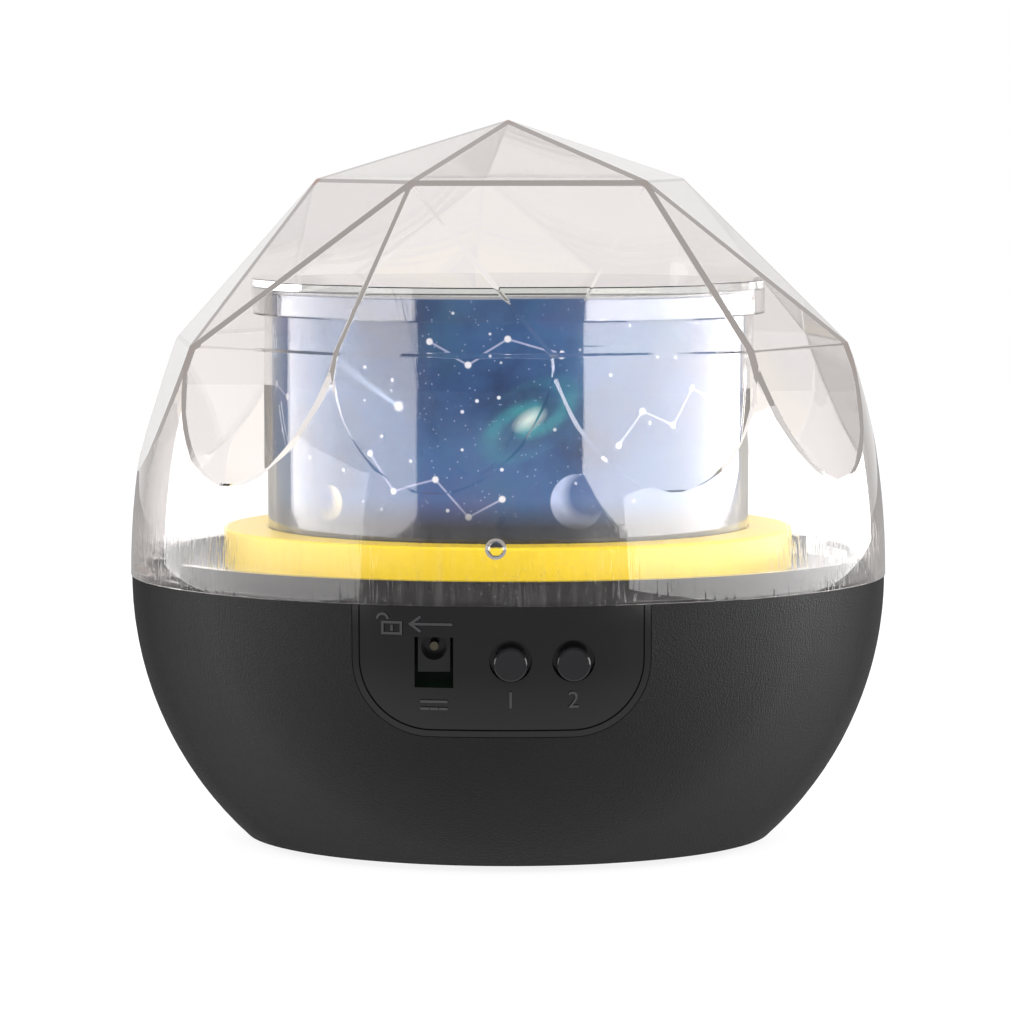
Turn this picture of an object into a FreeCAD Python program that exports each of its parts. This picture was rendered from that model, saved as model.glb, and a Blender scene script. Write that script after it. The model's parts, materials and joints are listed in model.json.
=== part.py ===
"""Planetarium projector: a star lamp with a faceted clear dome on a black bowl base.

Millimetres, +Z up. The origin is on the axis of the bowl at the level of the feet, the control
panel faces -Y. Azimuths are degrees round Z, 0 at the panel and 90 at +X.
"""
import FreeCAD, Part
import math
import os
import Sketcher

Vector = FreeCAD.Vector
Rotation = FreeCAD.Rotation
Placement = FreeCAD.Placement
UP = Vector(0, 0, 1)
ALONG_X = Vector(1, 0, 0)

# Driving sizes, name and millimetres. Angles and counts follow in tables of their own.
SIZES = [
    # bowl and its floor
    ("foot_proud", 1.2),
    ("base_height", 44.8),
    ("bowl_radius", 65.0),
    ("floor_margin", 8.15),
    ("bowl_wall", 2.4),
    ("plate_thick", 2.2),
    ("plate_gap", 0.3),
    ("fitting_gap", 0.1),
    ("overrun", 1.0),
    # dome
    ("dome_overhang", 0.2),
    ("dome_arc", 137.7),
    ("dome_wall", 1.8),
    ("girdle_height", 40.2),
    ("girdle_inset", 6.2),
    ("crown_rise", 27.7),
    ("crown_inset", 25.1),
    ("apex_rise", 10.2),
    ("shield_length", 21.2),
    ("shield_foot_inset", 1.5),
    ("bump_ball", 2.2),
    ("bump_proud", 0.8),
    ("bump_height", 9.2),
    # deck and collar
    ("deck_drop", 1.5),
    ("deck_rise", 1.0),
    ("collar_clearance", 1.2),
    ("collar_wall", 2.0),
    ("collar_height", 3.8),
    ("ledge_width", 3.8),
    ("ledge_thick", 2.0),
    ("lug_reach", 2.3),
    ("lug_low", 1.0),
    ("lug_thick", 1.5),
    ("slot_gap", 0.4),
    # turntable and ring gear
    ("turntable_margin", 13.15),
    ("turntable_top", 8.2),
    ("turntable_low", 1.5),
    ("turntable_edge", 0.5),
    ("skirt_wall", 1.85),
    ("web_low", 4.2),
    ("web_thick", 1.5),
    ("hub_wall", 3.0),
    ("hub_low", 2.0),
    ("hub_top", 7.9),
    ("seat_wall", 1.6),
    ("seat_gap", 0.2),
    ("ring_face", 2.4),
    ("gear_play", 0.12),
    ("running_gap", 0.06),
    # film drum
    ("drum_margin", 7.55),
    ("drum_wall", 1.2),
    ("drum_lift_gap", 0.05),
    ("drum_rise", 7.8),
    ("drum_ledge", 1.4),
    ("cap_wall", 1.8),
    ("cap_gap", 0.15),
    ("cap_skirt", 5.8),
    ("cap_plate", 1.5),
    ("film_thick", 0.25),
    ("film_gap", 0.2),
    ("film_top_gap", 0.5),
    # lamp post
    ("post_radius", 9.0),
    ("post_wall", 2.5),
    ("post_top", 22.0),
    ("post_screw_offset", 4.2),
    ("post_flange_margin", 3.8),
    ("post_flange_thick", 2.0),
    ("clip_depth", 0.8),
    ("clip_flare", 2.0),
    ("clip_thick", 0.9),
    ("clip_gap", 0.1),
    ("clip_mouth", 12.0),
    ("board_disc_inset", 0.4),
    ("board_thick", 1.6),
    ("led_side", 5.0),
    ("led_thick", 1.4),
    ("led_ball", 2.0),
    # motor
    ("case_width", 26.0),
    ("case_depth", 20.0),
    ("case_height", 8.0),
    ("ear_hole_offset", 2.5),
    ("ear_margin", 3.0),
    ("ear_width", 8.0),
    ("ear_thick", 2.2),
    ("can_radius", 7.8),
    ("can_height", 13.0),
    ("can_neck_radius", 4.0),
    ("can_neck_height", 1.5),
    ("shaft_radius", 1.5),
    ("shaft_sink", 6.5),
    ("pinion_rise", 0.6),
    ("pinion_face", 2.3),
    ("deck_shaft_hole", 4.2),
    # control panel
    ("panel_half_width", 24.1),
    ("panel_offset", -1.1),
    ("panel_height", 21.5),
    ("panel_corner", 12.7),
    ("panel_thick", 1.3),
    ("panel_gap", 0.12),
    ("border_inset", 1.0),
    ("border_line", 0.28),
    # buttons
    ("button_one_across", 0.35),
    ("button_two_across", 10.5),
    ("button_drop", 9.3),
    ("button_radius", 2.75),
    ("button_edge", 0.4),
    ("button_proud", 1.5),
    ("hole_radius", 3.45),
    ("hole_drop", 8.85),
    ("button_flange_radius", 4.1),
    ("button_flange_thick", 0.8),
    ("button_flange_gap", 0.4),
    ("switch_side", 6.2),
    ("switch_depth", 3.4),
    ("plunger_radius", 1.7),
    ("plunger_proud", 0.8),
    ("plunger_sink", 1.2),
    ("press_travel", 0.4),
    # power socket
    ("socket_across", -12.0),
    ("socket_width", 6.25),
    ("socket_top_drop", 5.0),
    ("socket_low_drop", 13.3),
    ("jack_width", 5.2),
    ("jack_height", 6.4),
    ("jack_top_drop", 4.5),
    ("jack_depth", 7.5),
    ("jack_bore", 2.1),
    ("jack_bore_drop", 6.9),
    ("jack_bore_depth", 6.5),
    ("jack_pin_radius", 0.7),
    ("jack_pin_length", 5.0),
    # control board
    ("board_setback", 12.0),
    ("board_margin", 4.1),
    ("board_top_drop", 3.0),
    ("board_low_drop", 21.0),
    ("rail_width", 4.0),
    ("rail_bite", 1.5),
    ("rail_setback", 5.0),
    ("rail_heel", 2.4),
    ("chip_width", 8.0),
    ("chip_height", 5.0),
    ("chip_thick", 1.5),
    ("capacitor_radius", 2.5),
    ("capacitor_height", 6.0),
    ("plug_block_width", 5.0),
    ("plug_block_height", 4.0),
    ("plug_block_depth", 5.0),
    # screws
    ("screw_radius", 1.1),
    ("screw_head_radius", 2.4),
    ("screw_head_height", 1.5),
    ("screw_clearance", 0.3),
    ("pilot_gap", 0.05),
    ("drive_slot_width", 0.7),
    ("drive_slot_depth", 0.6),
    ("deck_screw_inset", 7.2),
    ("deck_boss_radius", 3.2),
    ("deck_boss_height", 6.5),
    ("deck_lug_thick", 3.0),
    ("deck_lug_width", 9.0),
    ("deck_lug_margin", 4.0),
    ("base_screw_inset", 4.57),
    ("base_boss_radius", 3.2),
    ("base_boss_height", 15.0),
    ("base_rib_thick", 1.8),
    ("base_screw_length", 9.0),
    ("post_screw_length", 3.8),
    ("motor_screw_length", 4.2),
    ("blind_stop", 0.4),
    # battery tray
    ("cell_radius", 5.2),
    ("cell_length", 43.5),
    ("cell_nub_radius", 1.9),
    ("cell_nub_length", 1.0),
    ("cell_gap", 0.4),
    ("spring_length", 5.2),
    ("spring_wide", 3.4),
    ("spring_narrow", 1.9),
    ("spring_wire", 0.8),
    ("contact_thick", 0.4),
    ("contact_height", 8.0),
    ("contact_width", 8.4),
    ("tray_wall", 1.5),
    ("tray_clear", 0.6),
    ("door_thick", 1.8),
    ("door_gap", 0.25),
    ("door_hinge_gap", 0.5),
    ("door_ear_width", 11.0),
    ("door_ear_reach", 5.5),
    ("door_boss_radius", 4.0),
    ("door_boss_height", 7.0),
    ("door_screw_length", 3.0),
    ("door_hole_gap", 0.6),
    ("hinge_radius", 0.85),
    ("hinge_length", 6.0),
    ("hinge_reach", 16.0),
    ("hinge_gap", 0.1),
    # feet
    ("foot_radius", 4.0),
    ("foot_inset", 6.17),
    ("foot_sink", 0.7),
    # leads
    ("lead_radius", 0.6),
    ("lead_pitch", 1.6),
    ("lead_rise", 3.8),
]

RING_TEETH = 92
PINION_TEETH = 12
PRESSURE_ANGLE = 20.0
RING_ADDENDUM_SHARE = 0.62
TOOTH_ROOT_SHARE = 1.2
FLANK_POINTS = 5
CELL_COUNT = 4
GRIP_RIBS = 4
PLUG_COUNT = 3
PLUG_STEP_SHARE = 1.5
CAPACITOR_STEP_SHARE = 1.5
CROWN_SIDES = 5
GIRDLE_SIDES = 10
CROWN_AZIMUTH = -28.9
BUMP_AZIMUTH = -1.8
LUG_AZIMUTHS = [-66.0, 114.0]
LUG_ANGLE = 9.0
SLOT_ANGLE = 11.0
LOCK_ANGLE = 14.0
DECK_SCREW_AZIMUTHS = [42.0, 138.0, 222.0, 318.0]
BASE_SCREW_AZIMUTHS = [30.0, 150.0, 210.0, 330.0]
FOOT_AZIMUTHS = [60.0, 120.0, 240.0, 300.0]
POST_SCREW_AZIMUTHS = [60.0, 180.0, 300.0]

# How near two corners of a faceted solid count as one, and how sharp a lead turns.
CORNER_SLACK = 1e-5
CORNER_MERGE = 1e-4
ARC_SHARE = 0.45

doc = FreeCAD.newDocument("planetarium_projector")
sheet = doc.addObject("Spreadsheet::Sheet", "Dims")


class Size:
    """A length that carries its number and the sheet expression it comes from."""

    def __init__(self, number, text):
        self.number = number
        self.text = text

    def __add__(self, other):
        return combine(self, "+", other)

    def __radd__(self, other):
        return combine(other, "+", self)

    def __sub__(self, other):
        return combine(self, "-", other)

    def __rsub__(self, other):
        return combine(other, "-", self)

    def __mul__(self, other):
        return combine(self, "*", other)

    def __rmul__(self, other):
        return combine(other, "*", self)

    def __truediv__(self, other):
        return combine(self, "/", other)

    def __neg__(self):
        return Size(-self.number, f"(0 - {self.text})")


def as_size(value):
    if isinstance(value, Size):
        return value
    return Size(float(value), f"({float(value):.9f})")


def combine(first, sign, second):
    first = as_size(first)
    second = as_size(second)
    if sign == "+":
        number = first.number + second.number
    elif sign == "-":
        number = first.number - second.number
    elif sign == "*":
        number = first.number * second.number
    else:
        number = first.number / second.number
    return Size(number, f"({first.text} {sign} {second.text})")


def root(value):
    return Size(math.sqrt(value.number), f"sqrt({value.text})")


class Named:
    """The sheet's sizes by name."""


size = Named()
for line, (alias, number) in enumerate(SIZES, start=1):
    sheet.set(f"A{line}", alias)
    sheet.set(f"B{line}", str(number))
    sheet.setAlias(f"B{line}", alias)
    setattr(size, alias, Size(number, f"Dims.{alias}"))
doc.recompute()

# Battery tray, which sets the size of the floor.
tray_half_length = (size.cell_length + size.cell_nub_length + size.spring_length) / 2 + size.contact_thick
cell_pitch = 2 * size.cell_radius + size.cell_gap
tray_half_width = cell_pitch * (CELL_COUNT / 2) + size.tray_clear
cell_height = size.foot_proud + size.door_thick + size.cell_gap + size.cell_radius
tray_ceiling = cell_height + size.cell_radius + size.cell_gap
tray_top = tray_ceiling + size.tray_wall

# Bowl: the arc of its inner face stands upright at the seam and comes down to the edge of the floor.
seam = size.foot_proud + size.base_height
tray_corner = root(tray_half_length * tray_half_length + tray_half_width * tray_half_width)
floor_radius = tray_corner + size.floor_margin
bowl_lean = size.bowl_radius - size.bowl_wall - floor_radius
inner_arc = (bowl_lean * bowl_lean + size.base_height * size.base_height) / (2 * bowl_lean)
bowl_arc = inner_arc + size.bowl_wall
bowl_centre = size.bowl_radius - bowl_arc
plate_top = size.foot_proud + size.plate_thick
base_screw_circle = floor_radius - size.base_screw_inset
foot_circle = floor_radius - size.foot_inset

# Dome, which slips over the collar, and its corners.
dome_radius = size.bowl_radius + size.dome_overhang
dome_centre = dome_radius - size.dome_arc
girdle_radius = dome_radius - size.girdle_inset
crown_radius = girdle_radius - size.crown_inset
crown_height = size.girdle_height + size.crown_rise
dome_height = crown_height + size.apex_rise
shield_foot_radius = dome_radius - size.shield_foot_inset
shield_foot_height = size.girdle_height - size.shield_length

# Deck and collar
deck_under = seam - size.deck_drop
deck_top = seam + size.deck_rise
collar_radius = dome_radius - size.dome_wall - size.collar_clearance
deck_screw_circle = collar_radius - size.deck_screw_inset
deck_lug_inner = deck_screw_circle - size.deck_lug_margin

# Turntable, its ring gear and the pinion that drives it
turntable_radius = collar_radius - size.turntable_margin
web_top = seam + size.web_low + size.web_thick
ring_root = turntable_radius - size.skirt_wall
gear_module = ring_root / (RING_TEETH / 2 + TOOTH_ROOT_SHARE)
ring_pitch = gear_module * (RING_TEETH / 2)
pinion_pitch = gear_module * (PINION_TEETH / 2)
gear_centre = ring_pitch - pinion_pitch
ear_hole_reach = size.case_width / 2 + size.ear_hole_offset

# Film drum and its cap
drum_radius = turntable_radius - size.drum_margin
seat_radius = drum_radius + size.seat_gap
drum_foot = web_top + size.drum_lift_gap
drum_top = size.girdle_height + size.drum_rise
drum_inner = drum_radius - size.drum_wall
cap_inner = drum_radius + size.cap_gap
cap_outer = cap_inner + size.cap_wall
cap_under = seam + drum_top + size.film_top_gap

# Lamp post
post_bore = size.post_radius - size.post_wall
post_screw_circle = size.post_radius + size.post_screw_offset
post_flange_radius = post_screw_circle + size.post_flange_margin

# Screws and the control board
pilot_radius = size.screw_radius + size.pilot_gap
screw_hole = size.screw_radius + size.screw_clearance
board_front = size.bowl_radius - size.board_setback
board_back = board_front - size.board_thick
board_half_width = size.panel_half_width - size.board_margin
rail_front = size.bowl_radius - size.rail_setback
rail_back = board_back - size.rail_heel


def bowl_reach(drop, depth):
    """Radius of the bowl's wall, that far inside its outer face, at a drop below the seam."""
    arc = bowl_arc - depth
    return bowl_centre + root(arc * arc - drop * drop)


def dome_reach(height):
    return dome_centre + root(size.dome_arc * size.dome_arc - height * height)


def bind(thing, path, value):
    if isinstance(value, Size):
        thing.setExpression(path, value.text)


def set_place(thing, across, deep, high, turn):
    """Place a primitive; turn is its rotation, the three places are sizes."""
    corner = [as_size(value) for value in (across, deep, high)]
    thing.Placement = Placement(Vector(*[value.number for value in corner]), turn)
    for axis, value in zip("xyz", (across, deep, high)):
        bind(thing, f"Placement.Base.{axis}", value)


def outward(azimuth):
    angle = math.radians(azimuth)
    return math.sin(angle), -math.cos(angle)


def rod(name, radius, low, high, across=0, deep=0):
    """Upright cylinder between two levels."""
    thing = doc.addObject("Part::Cylinder", name)
    bind(thing, "Radius", as_size(radius))
    bind(thing, "Height", as_size(high - low))
    set_place(thing, across, deep, low, Rotation())
    return thing


def rod_forward(name, radius, back, front, across, high):
    """Cylinder along -Y, from its back to its front, both distances from the axis of the bowl."""
    thing = doc.addObject("Part::Cylinder", name)
    bind(thing, "Radius", as_size(radius))
    bind(thing, "Height", as_size(front - back))
    set_place(thing, across, -back, high, Rotation(ALONG_X, 90))
    return thing


def rod_sideways(name, radius, low_x, high_x, deep, high):
    """Cylinder along +X."""
    thing = doc.addObject("Part::Cylinder", name)
    bind(thing, "Radius", as_size(radius))
    bind(thing, "Height", as_size(high_x - low_x))
    set_place(thing, low_x, deep, high, Rotation(Vector(0, 1, 0), 90))
    return thing


def block(name, low_x, high_x, low_y, high_y, low_z, high_z):
    thing = doc.addObject("Part::Box", name)
    bind(thing, "Length", as_size(high_x - low_x))
    bind(thing, "Width", as_size(high_y - low_y))
    bind(thing, "Height", as_size(high_z - low_z))
    set_place(thing, low_x, low_y, low_z, Rotation())
    return thing


def spoke(name, azimuth, inner, outer, width, low, high):
    """Box that runs outwards at an azimuth."""
    out_x, out_y = outward(azimuth)
    thing = doc.addObject("Part::Box", name)
    bind(thing, "Length", as_size(outer - inner))
    bind(thing, "Width", as_size(width))
    bind(thing, "Height", as_size(high - low))
    across = inner * out_x + width * (out_y / 2)
    deep = inner * out_y - width * (out_x / 2)
    set_place(thing, across, deep, low, Rotation(UP, azimuth - 90))
    return thing


def sector(name, inner, outer, low, high, azimuth, angle):
    """Part of a ring, its middle at an azimuth."""
    start = azimuth - angle / 2 - 90
    wedge = doc.addObject("Part::Cylinder", f"{name}_wedge")
    bind(wedge, "Radius", as_size(outer))
    bind(wedge, "Height", as_size(high - low))
    wedge.Angle = angle
    set_place(wedge, 0, 0, low, Rotation(UP, start))
    core = rod(f"{name}_core", inner, low - size.overrun, high + size.overrun)
    return cut(name, wedge, core)


def cut(name, base, *tools):
    thing = doc.addObject("Part::Cut", name)
    thing.Base = base
    thing.Tool = tools[0] if len(tools) == 1 else fuse(f"{name}_tools", *tools)
    return thing


def fuse(name, *pieces):
    thing = doc.addObject("Part::MultiFuse", name)
    thing.Shapes = list(pieces)
    return thing


def common(name, *pieces):
    thing = doc.addObject("Part::MultiCommon", name)
    thing.Shapes = list(pieces)
    return thing


def group(name, *pieces):
    """Separate solids in one node."""
    thing = doc.addObject("Part::Compound", name)
    thing.Links = list(pieces)
    return thing


def plane_of(body, role):
    return [item for item in body.Origin.OriginFeatures if item.Role == role][0]


def arc_between(start, end, radius, bulge):
    """Circle arc through two corners; bulge +1 has its centre on the left of the way."""
    half = (end - start) / 2
    side = Vector(-half.y, half.x, 0).normalize() * bulge
    centre = start + half + side * math.sqrt(max(radius * radius - half.Length * half.Length, 0))
    circle = Part.Circle(centre, UP, radius)
    first, last = (start, end) if bulge > 0 else (end, start)
    begin = math.atan2(first.y - centre.y, first.x - centre.x)
    finish = math.atan2(last.y - centre.y, last.x - centre.x)
    if finish < begin:
        finish += 2 * math.pi
    return Part.ArcOfCircle(circle, begin, finish)


def outline_sketch(body, name, corners):
    """Closed outline on the XZ plane. A corner is (x, z), or (x, z, radius, bulge) after an arc."""
    sketch = body.newObject("Sketcher::SketchObject", name)
    sketch.AttachmentSupport = [(plane_of(body, "XZ_Plane"), "")]
    sketch.MapMode = "FlatFace"
    spots = [Vector(as_size(c[0]).number, as_size(c[1]).number, 0) for c in corners]
    starts = []
    ends = []
    for index, corner in enumerate(corners):
        start = spots[index - 1]
        end = spots[index]
        if len(corner) == 2:
            edge = sketch.addGeometry(Part.LineSegment(start, end), False)
            starts.append((edge, 1))
            ends.append((edge, 2))
            continue
        radius, bulge = corner[2], corner[3]
        edge = sketch.addGeometry(arc_between(start, end, radius.number, bulge), False)
        starts.append((edge, 1 if bulge > 0 else 2))
        ends.append((edge, 2 if bulge > 0 else 1))
    for index, corner in enumerate(corners):
        following = (index + 1) % len(corners)
        sketch.addConstraint(Sketcher.Constraint("Coincident", *ends[index], *starts[following]))
    for index, corner in enumerate(corners):
        for kind, value, axis in (("DistanceX", corner[0], -2), ("DistanceY", corner[1], -1)):
            if isinstance(value, Size):
                at = sketch.addConstraint(Sketcher.Constraint(kind, -1, 1, *ends[index], value.number))
                sketch.setExpression(f"Constraints[{at}]", value.text)
            else:
                sketch.addConstraint(Sketcher.Constraint("PointOnObject", *ends[index], axis))
        if len(corner) > 2:
            at = sketch.addConstraint(Sketcher.Constraint("Radius", ends[index][0], corner[2].number))
            sketch.setExpression(f"Constraints[{at}]", corner[2].text)
    return sketch


def turned(name, corners):
    """Body turned about Z from an outline of (radius, level) corners."""
    body = doc.addObject("PartDesign::Body", name)
    sketch = outline_sketch(body, f"{name}_outline", corners)
    turn = body.newObject("PartDesign::Revolution", f"{name}_turn")
    turn.Profile = sketch
    turn.ReferenceAxis = (sketch, ["V_Axis"])
    turn.Angle = 360
    return body


def pushed_forward(name, corners, reach):
    """Body pushed out towards -Y from an outline on the XZ plane."""
    body = doc.addObject("PartDesign::Body", name)
    sketch = outline_sketch(body, f"{name}_outline", corners)
    pad = body.newObject("PartDesign::Pad", f"{name}_pad")
    pad.Profile = sketch
    bind(pad, "Length", reach)
    return body


def screw(name, radius, head_radius, head_low, shank_top, across, deep):
    """Pan-head screw driven upwards: its head, shank and drive slot."""
    head_top = head_low + size.screw_head_height
    head = rod(f"{name}_head", head_radius, head_low, head_top, across, deep)
    shank = rod(f"{name}_shank", radius, head_top, shank_top, across, deep)
    half = size.drive_slot_width / 2
    slot = block(f"{name}_slot", across - head_radius, across + head_radius, deep - half, deep + half,
                 head_low - size.overrun, head_low + size.drive_slot_depth)
    return cut(name, fuse(f"{name}_blank", head, shank), slot)


def shape_node(name, shape):
    """Node whose form has no feature of its own, such as gear teeth or a bent lead."""
    thing = doc.addObject("Part::Feature", name)
    thing.Shape = shape
    return thing


NODES = {}


def node(name, thing):
    thing.Label = name
    NODES[name] = thing
    return thing


# Bowl


def bowl_filled(name, depth):
    """The bowl as a filled form, its face that far inside the outer face."""
    radius = bowl_arc - depth
    return turned(name, [
        (0, size.foot_proud),
        (bowl_reach(size.base_height, depth), size.foot_proud),
        (size.bowl_radius - depth, seam, radius, 1),
        (0, seam),
    ])


def bowl_shell():
    inner = bowl_reach(size.base_height, size.bowl_wall)
    return turned("bowl_shell", [
        (inner, size.foot_proud, bowl_arc - size.bowl_wall, -1),
        (bowl_reach(size.base_height, 0), size.foot_proud),
        (size.bowl_radius, seam, bowl_arc, 1),
        (size.bowl_radius - size.bowl_wall, seam),
    ])


def panel_outline(name, inset, top):
    """The panel's U form: straight sides and two round lower corners."""
    left = size.panel_offset - size.panel_half_width + inset
    right = size.panel_offset + size.panel_half_width - inset
    low = seam - size.panel_height + inset
    corner = size.panel_corner - inset
    return pushed_forward(name, [
        (left, low + corner),
        (left + corner, low, corner, 1),
        (right - corner, low),
        (right, low + corner, corner, 1),
        (right, top),
        (left, top),
    ], size.bowl_radius + size.overrun)


def board_rail(name, side):
    """Grooved rail that holds one edge of the control board."""
    edge = size.panel_offset + board_half_width * side
    far = edge + (size.rail_width - size.rail_bite) * side
    near = edge - size.rail_bite * side
    low_x, high_x = (near, far) if side > 0 else (far, near)
    foot = seam - size.board_low_drop - size.blind_stop
    body = block(name, low_x, high_x, -rail_front, -rail_back, foot - size.overrun, deck_under)
    gap = size.fitting_gap
    edge_out = edge + gap * side
    slot_low, slot_high = (near, edge_out) if side > 0 else (edge_out, near)
    groove = block(f"{name}_groove", slot_low, slot_high, -board_front - gap, -board_back + gap,
                   seam - size.board_low_drop, deck_under + size.overrun)
    return cut(f"{name}_rail", body, groove)


def front_holes(prefix, radius_extra):
    """Button holes and the power socket's opening, through panel and bowl."""
    holes = []
    for word, across in (("one", size.button_one_across), ("two", size.button_two_across)):
        holes.append(rod_forward(f"{prefix}_hole_{word}", size.hole_radius + radius_extra,
                                 rail_front - size.overrun, size.bowl_radius + size.overrun,
                                 across, seam - size.hole_drop))
    half = size.socket_width / 2 + radius_extra
    socket_low = seam - size.socket_low_drop - radius_extra
    socket_high = seam - size.socket_top_drop + radius_extra
    holes.append(block(f"{prefix}_socket", size.socket_across - half, size.socket_across + half,
                       -size.bowl_radius - size.overrun, -board_front - size.board_thick,
                       socket_low, socket_high))
    return holes


def base_bowl():
    outside = bowl_filled("bowl_outside", size.bowl_wall / 2)
    pieces = []
    ledge_outer = rod("ledge_outer", size.bowl_radius - size.bowl_wall / 2, deck_under - size.ledge_thick,
                      deck_under)
    ledge_inner = rod("ledge_inner", size.bowl_radius - size.bowl_wall - size.ledge_width,
                      deck_under - size.ledge_thick - size.overrun, deck_under + size.overrun)
    pieces.append(cut("deck_ledge", ledge_outer, ledge_inner))
    lug_top = deck_under - size.deck_boss_height
    holes = []
    for count, azimuth in enumerate(DECK_SCREW_AZIMUTHS):
        out_x, out_y = outward(azimuth)
        pieces.append(spoke(f"deck_lug_{count}", azimuth, deck_lug_inner, size.bowl_radius,
                            size.deck_lug_width, lug_top - size.deck_lug_thick, lug_top))
        holes.append(rod(f"deck_lug_hole_{count}", screw_hole, lug_top - size.deck_lug_thick - size.overrun,
                         lug_top + size.overrun, deck_screw_circle * out_x,
                         deck_screw_circle * out_y))
    boss_top = plate_top + size.base_boss_height
    for count, azimuth in enumerate(BASE_SCREW_AZIMUTHS):
        out_x, out_y = outward(azimuth)
        centre = (base_screw_circle * out_x, base_screw_circle * out_y)
        pieces.append(rod(f"base_boss_{count}", size.base_boss_radius, plate_top, boss_top, *centre))
        pieces.append(spoke(f"base_rib_{count}", azimuth, base_screw_circle, size.bowl_radius,
                            size.base_rib_thick, plate_top, boss_top))
        holes.append(rod(f"base_pilot_{count}", pilot_radius, plate_top - size.overrun,
                         plate_top + size.base_screw_length, *centre))
    pieces.append(board_rail("rail_right", 1))
    pieces.append(board_rail("rail_left", -1))
    fittings = common("bowl_fittings", fuse("bowl_fittings_all", *pieces), outside)
    whole = fuse("bowl_whole", bowl_shell(), fittings)
    recess = cut("panel_recess", panel_outline("recess_outline", -size.panel_gap, seam + size.overrun),
                 bowl_filled("recess_floor", size.panel_thick + size.panel_gap))
    return node("base_bowl", cut("base_bowl_cut", whole, recess, *holes,
                                 *front_holes("bowl", size.panel_gap)))


def control_panel():
    skin = cut("panel_skin", bowl_filled("panel_face", 0), bowl_filled("panel_back", size.panel_thick))
    blank = common("panel_blank", panel_outline("panel_outline", 0, seam), skin)
    line = cut("border_ring",
               panel_outline("border_outer", size.border_inset, seam + size.overrun),
               panel_outline("border_inner", size.border_inset + size.border_line,
                             seam + 2 * size.overrun))
    line_depth = bowl_filled("border_floor", size.border_line)
    return node("control_panel", cut("control_panel_cut", blank, cut("border_groove", line, line_depth),
                                     *front_holes("panel", 0)))


# Base plate, battery tray and its door


def screw_places(azimuths, circle):
    return [(circle * outward(azimuth)[0], circle * outward(azimuth)[1]) for azimuth in azimuths]


def door_ear_front():
    return tray_half_width + size.door_ear_reach


def base_plate():
    disc = rod("plate_disc", bowl_reach(size.base_height, size.bowl_wall) - size.plate_gap,
               size.foot_proud, plate_top)
    tray = block("tray_outer", -tray_half_length - size.tray_wall, tray_half_length + size.tray_wall,
                 -tray_half_width - size.tray_wall, tray_half_width + size.tray_wall,
                 size.foot_proud, tray_top)
    ear_y = -tray_half_width - size.door_ear_reach / 2
    boss_top = plate_top + size.door_boss_height
    boss = rod("door_boss", size.door_boss_radius, size.foot_proud, boss_top, 0, ear_y)
    whole = fuse("plate_whole", disc, tray, boss)
    below = size.foot_proud - size.overrun
    tools = [block("tray_hollow", -tray_half_length, tray_half_length, -tray_half_width, tray_half_width,
                   below, tray_ceiling)]
    half_ear = size.door_ear_width / 2 + size.door_gap
    door_top = size.foot_proud + size.door_thick
    tools.append(block("ear_notch", -half_ear, half_ear, -door_ear_front() - size.door_gap,
                       -tray_half_width + size.overrun, below, door_top + size.door_gap))
    tools.append(rod("door_pilot", size.screw_radius + size.door_hole_gap, below,
                     door_top + size.door_screw_length + size.door_hole_gap, 0, ear_y))
    hinge_z = size.foot_proud + size.door_thick / 2
    for word, side in (("right", 1), ("left", -1)):
        low, high = hinge_span(side)
        tools.append(block(f"hinge_notch_{word}", low - size.door_gap, high + size.door_gap,
                           tray_half_width - size.overrun, hinge_line() + size.hinge_radius + size.door_gap,
                           below, hinge_z + size.hinge_radius + size.hinge_gap))
    for count, (across, deep) in enumerate(screw_places(BASE_SCREW_AZIMUTHS, base_screw_circle)):
        tools.append(rod(f"plate_hole_{count}", screw_hole, below, plate_top + size.overrun, across, deep))
        tools.append(rod(f"plate_sink_{count}", size.screw_head_radius + size.screw_clearance, below,
                         size.foot_proud + size.screw_head_height, across, deep))
    for count, (across, deep) in enumerate(screw_places(FOOT_AZIMUTHS, foot_circle)):
        tools.append(rod(f"foot_pocket_{count}", size.foot_radius + size.pilot_gap, below,
                         size.foot_proud + size.foot_sink, across, deep))
    return node("base_plate", cut("base_plate_cut", whole, *tools))


def hinge_line():
    return tray_half_width + size.hinge_radius


def hinge_span(side):
    middle = size.hinge_reach * side
    return middle - size.hinge_length / 2, middle + size.hinge_length / 2


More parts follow.
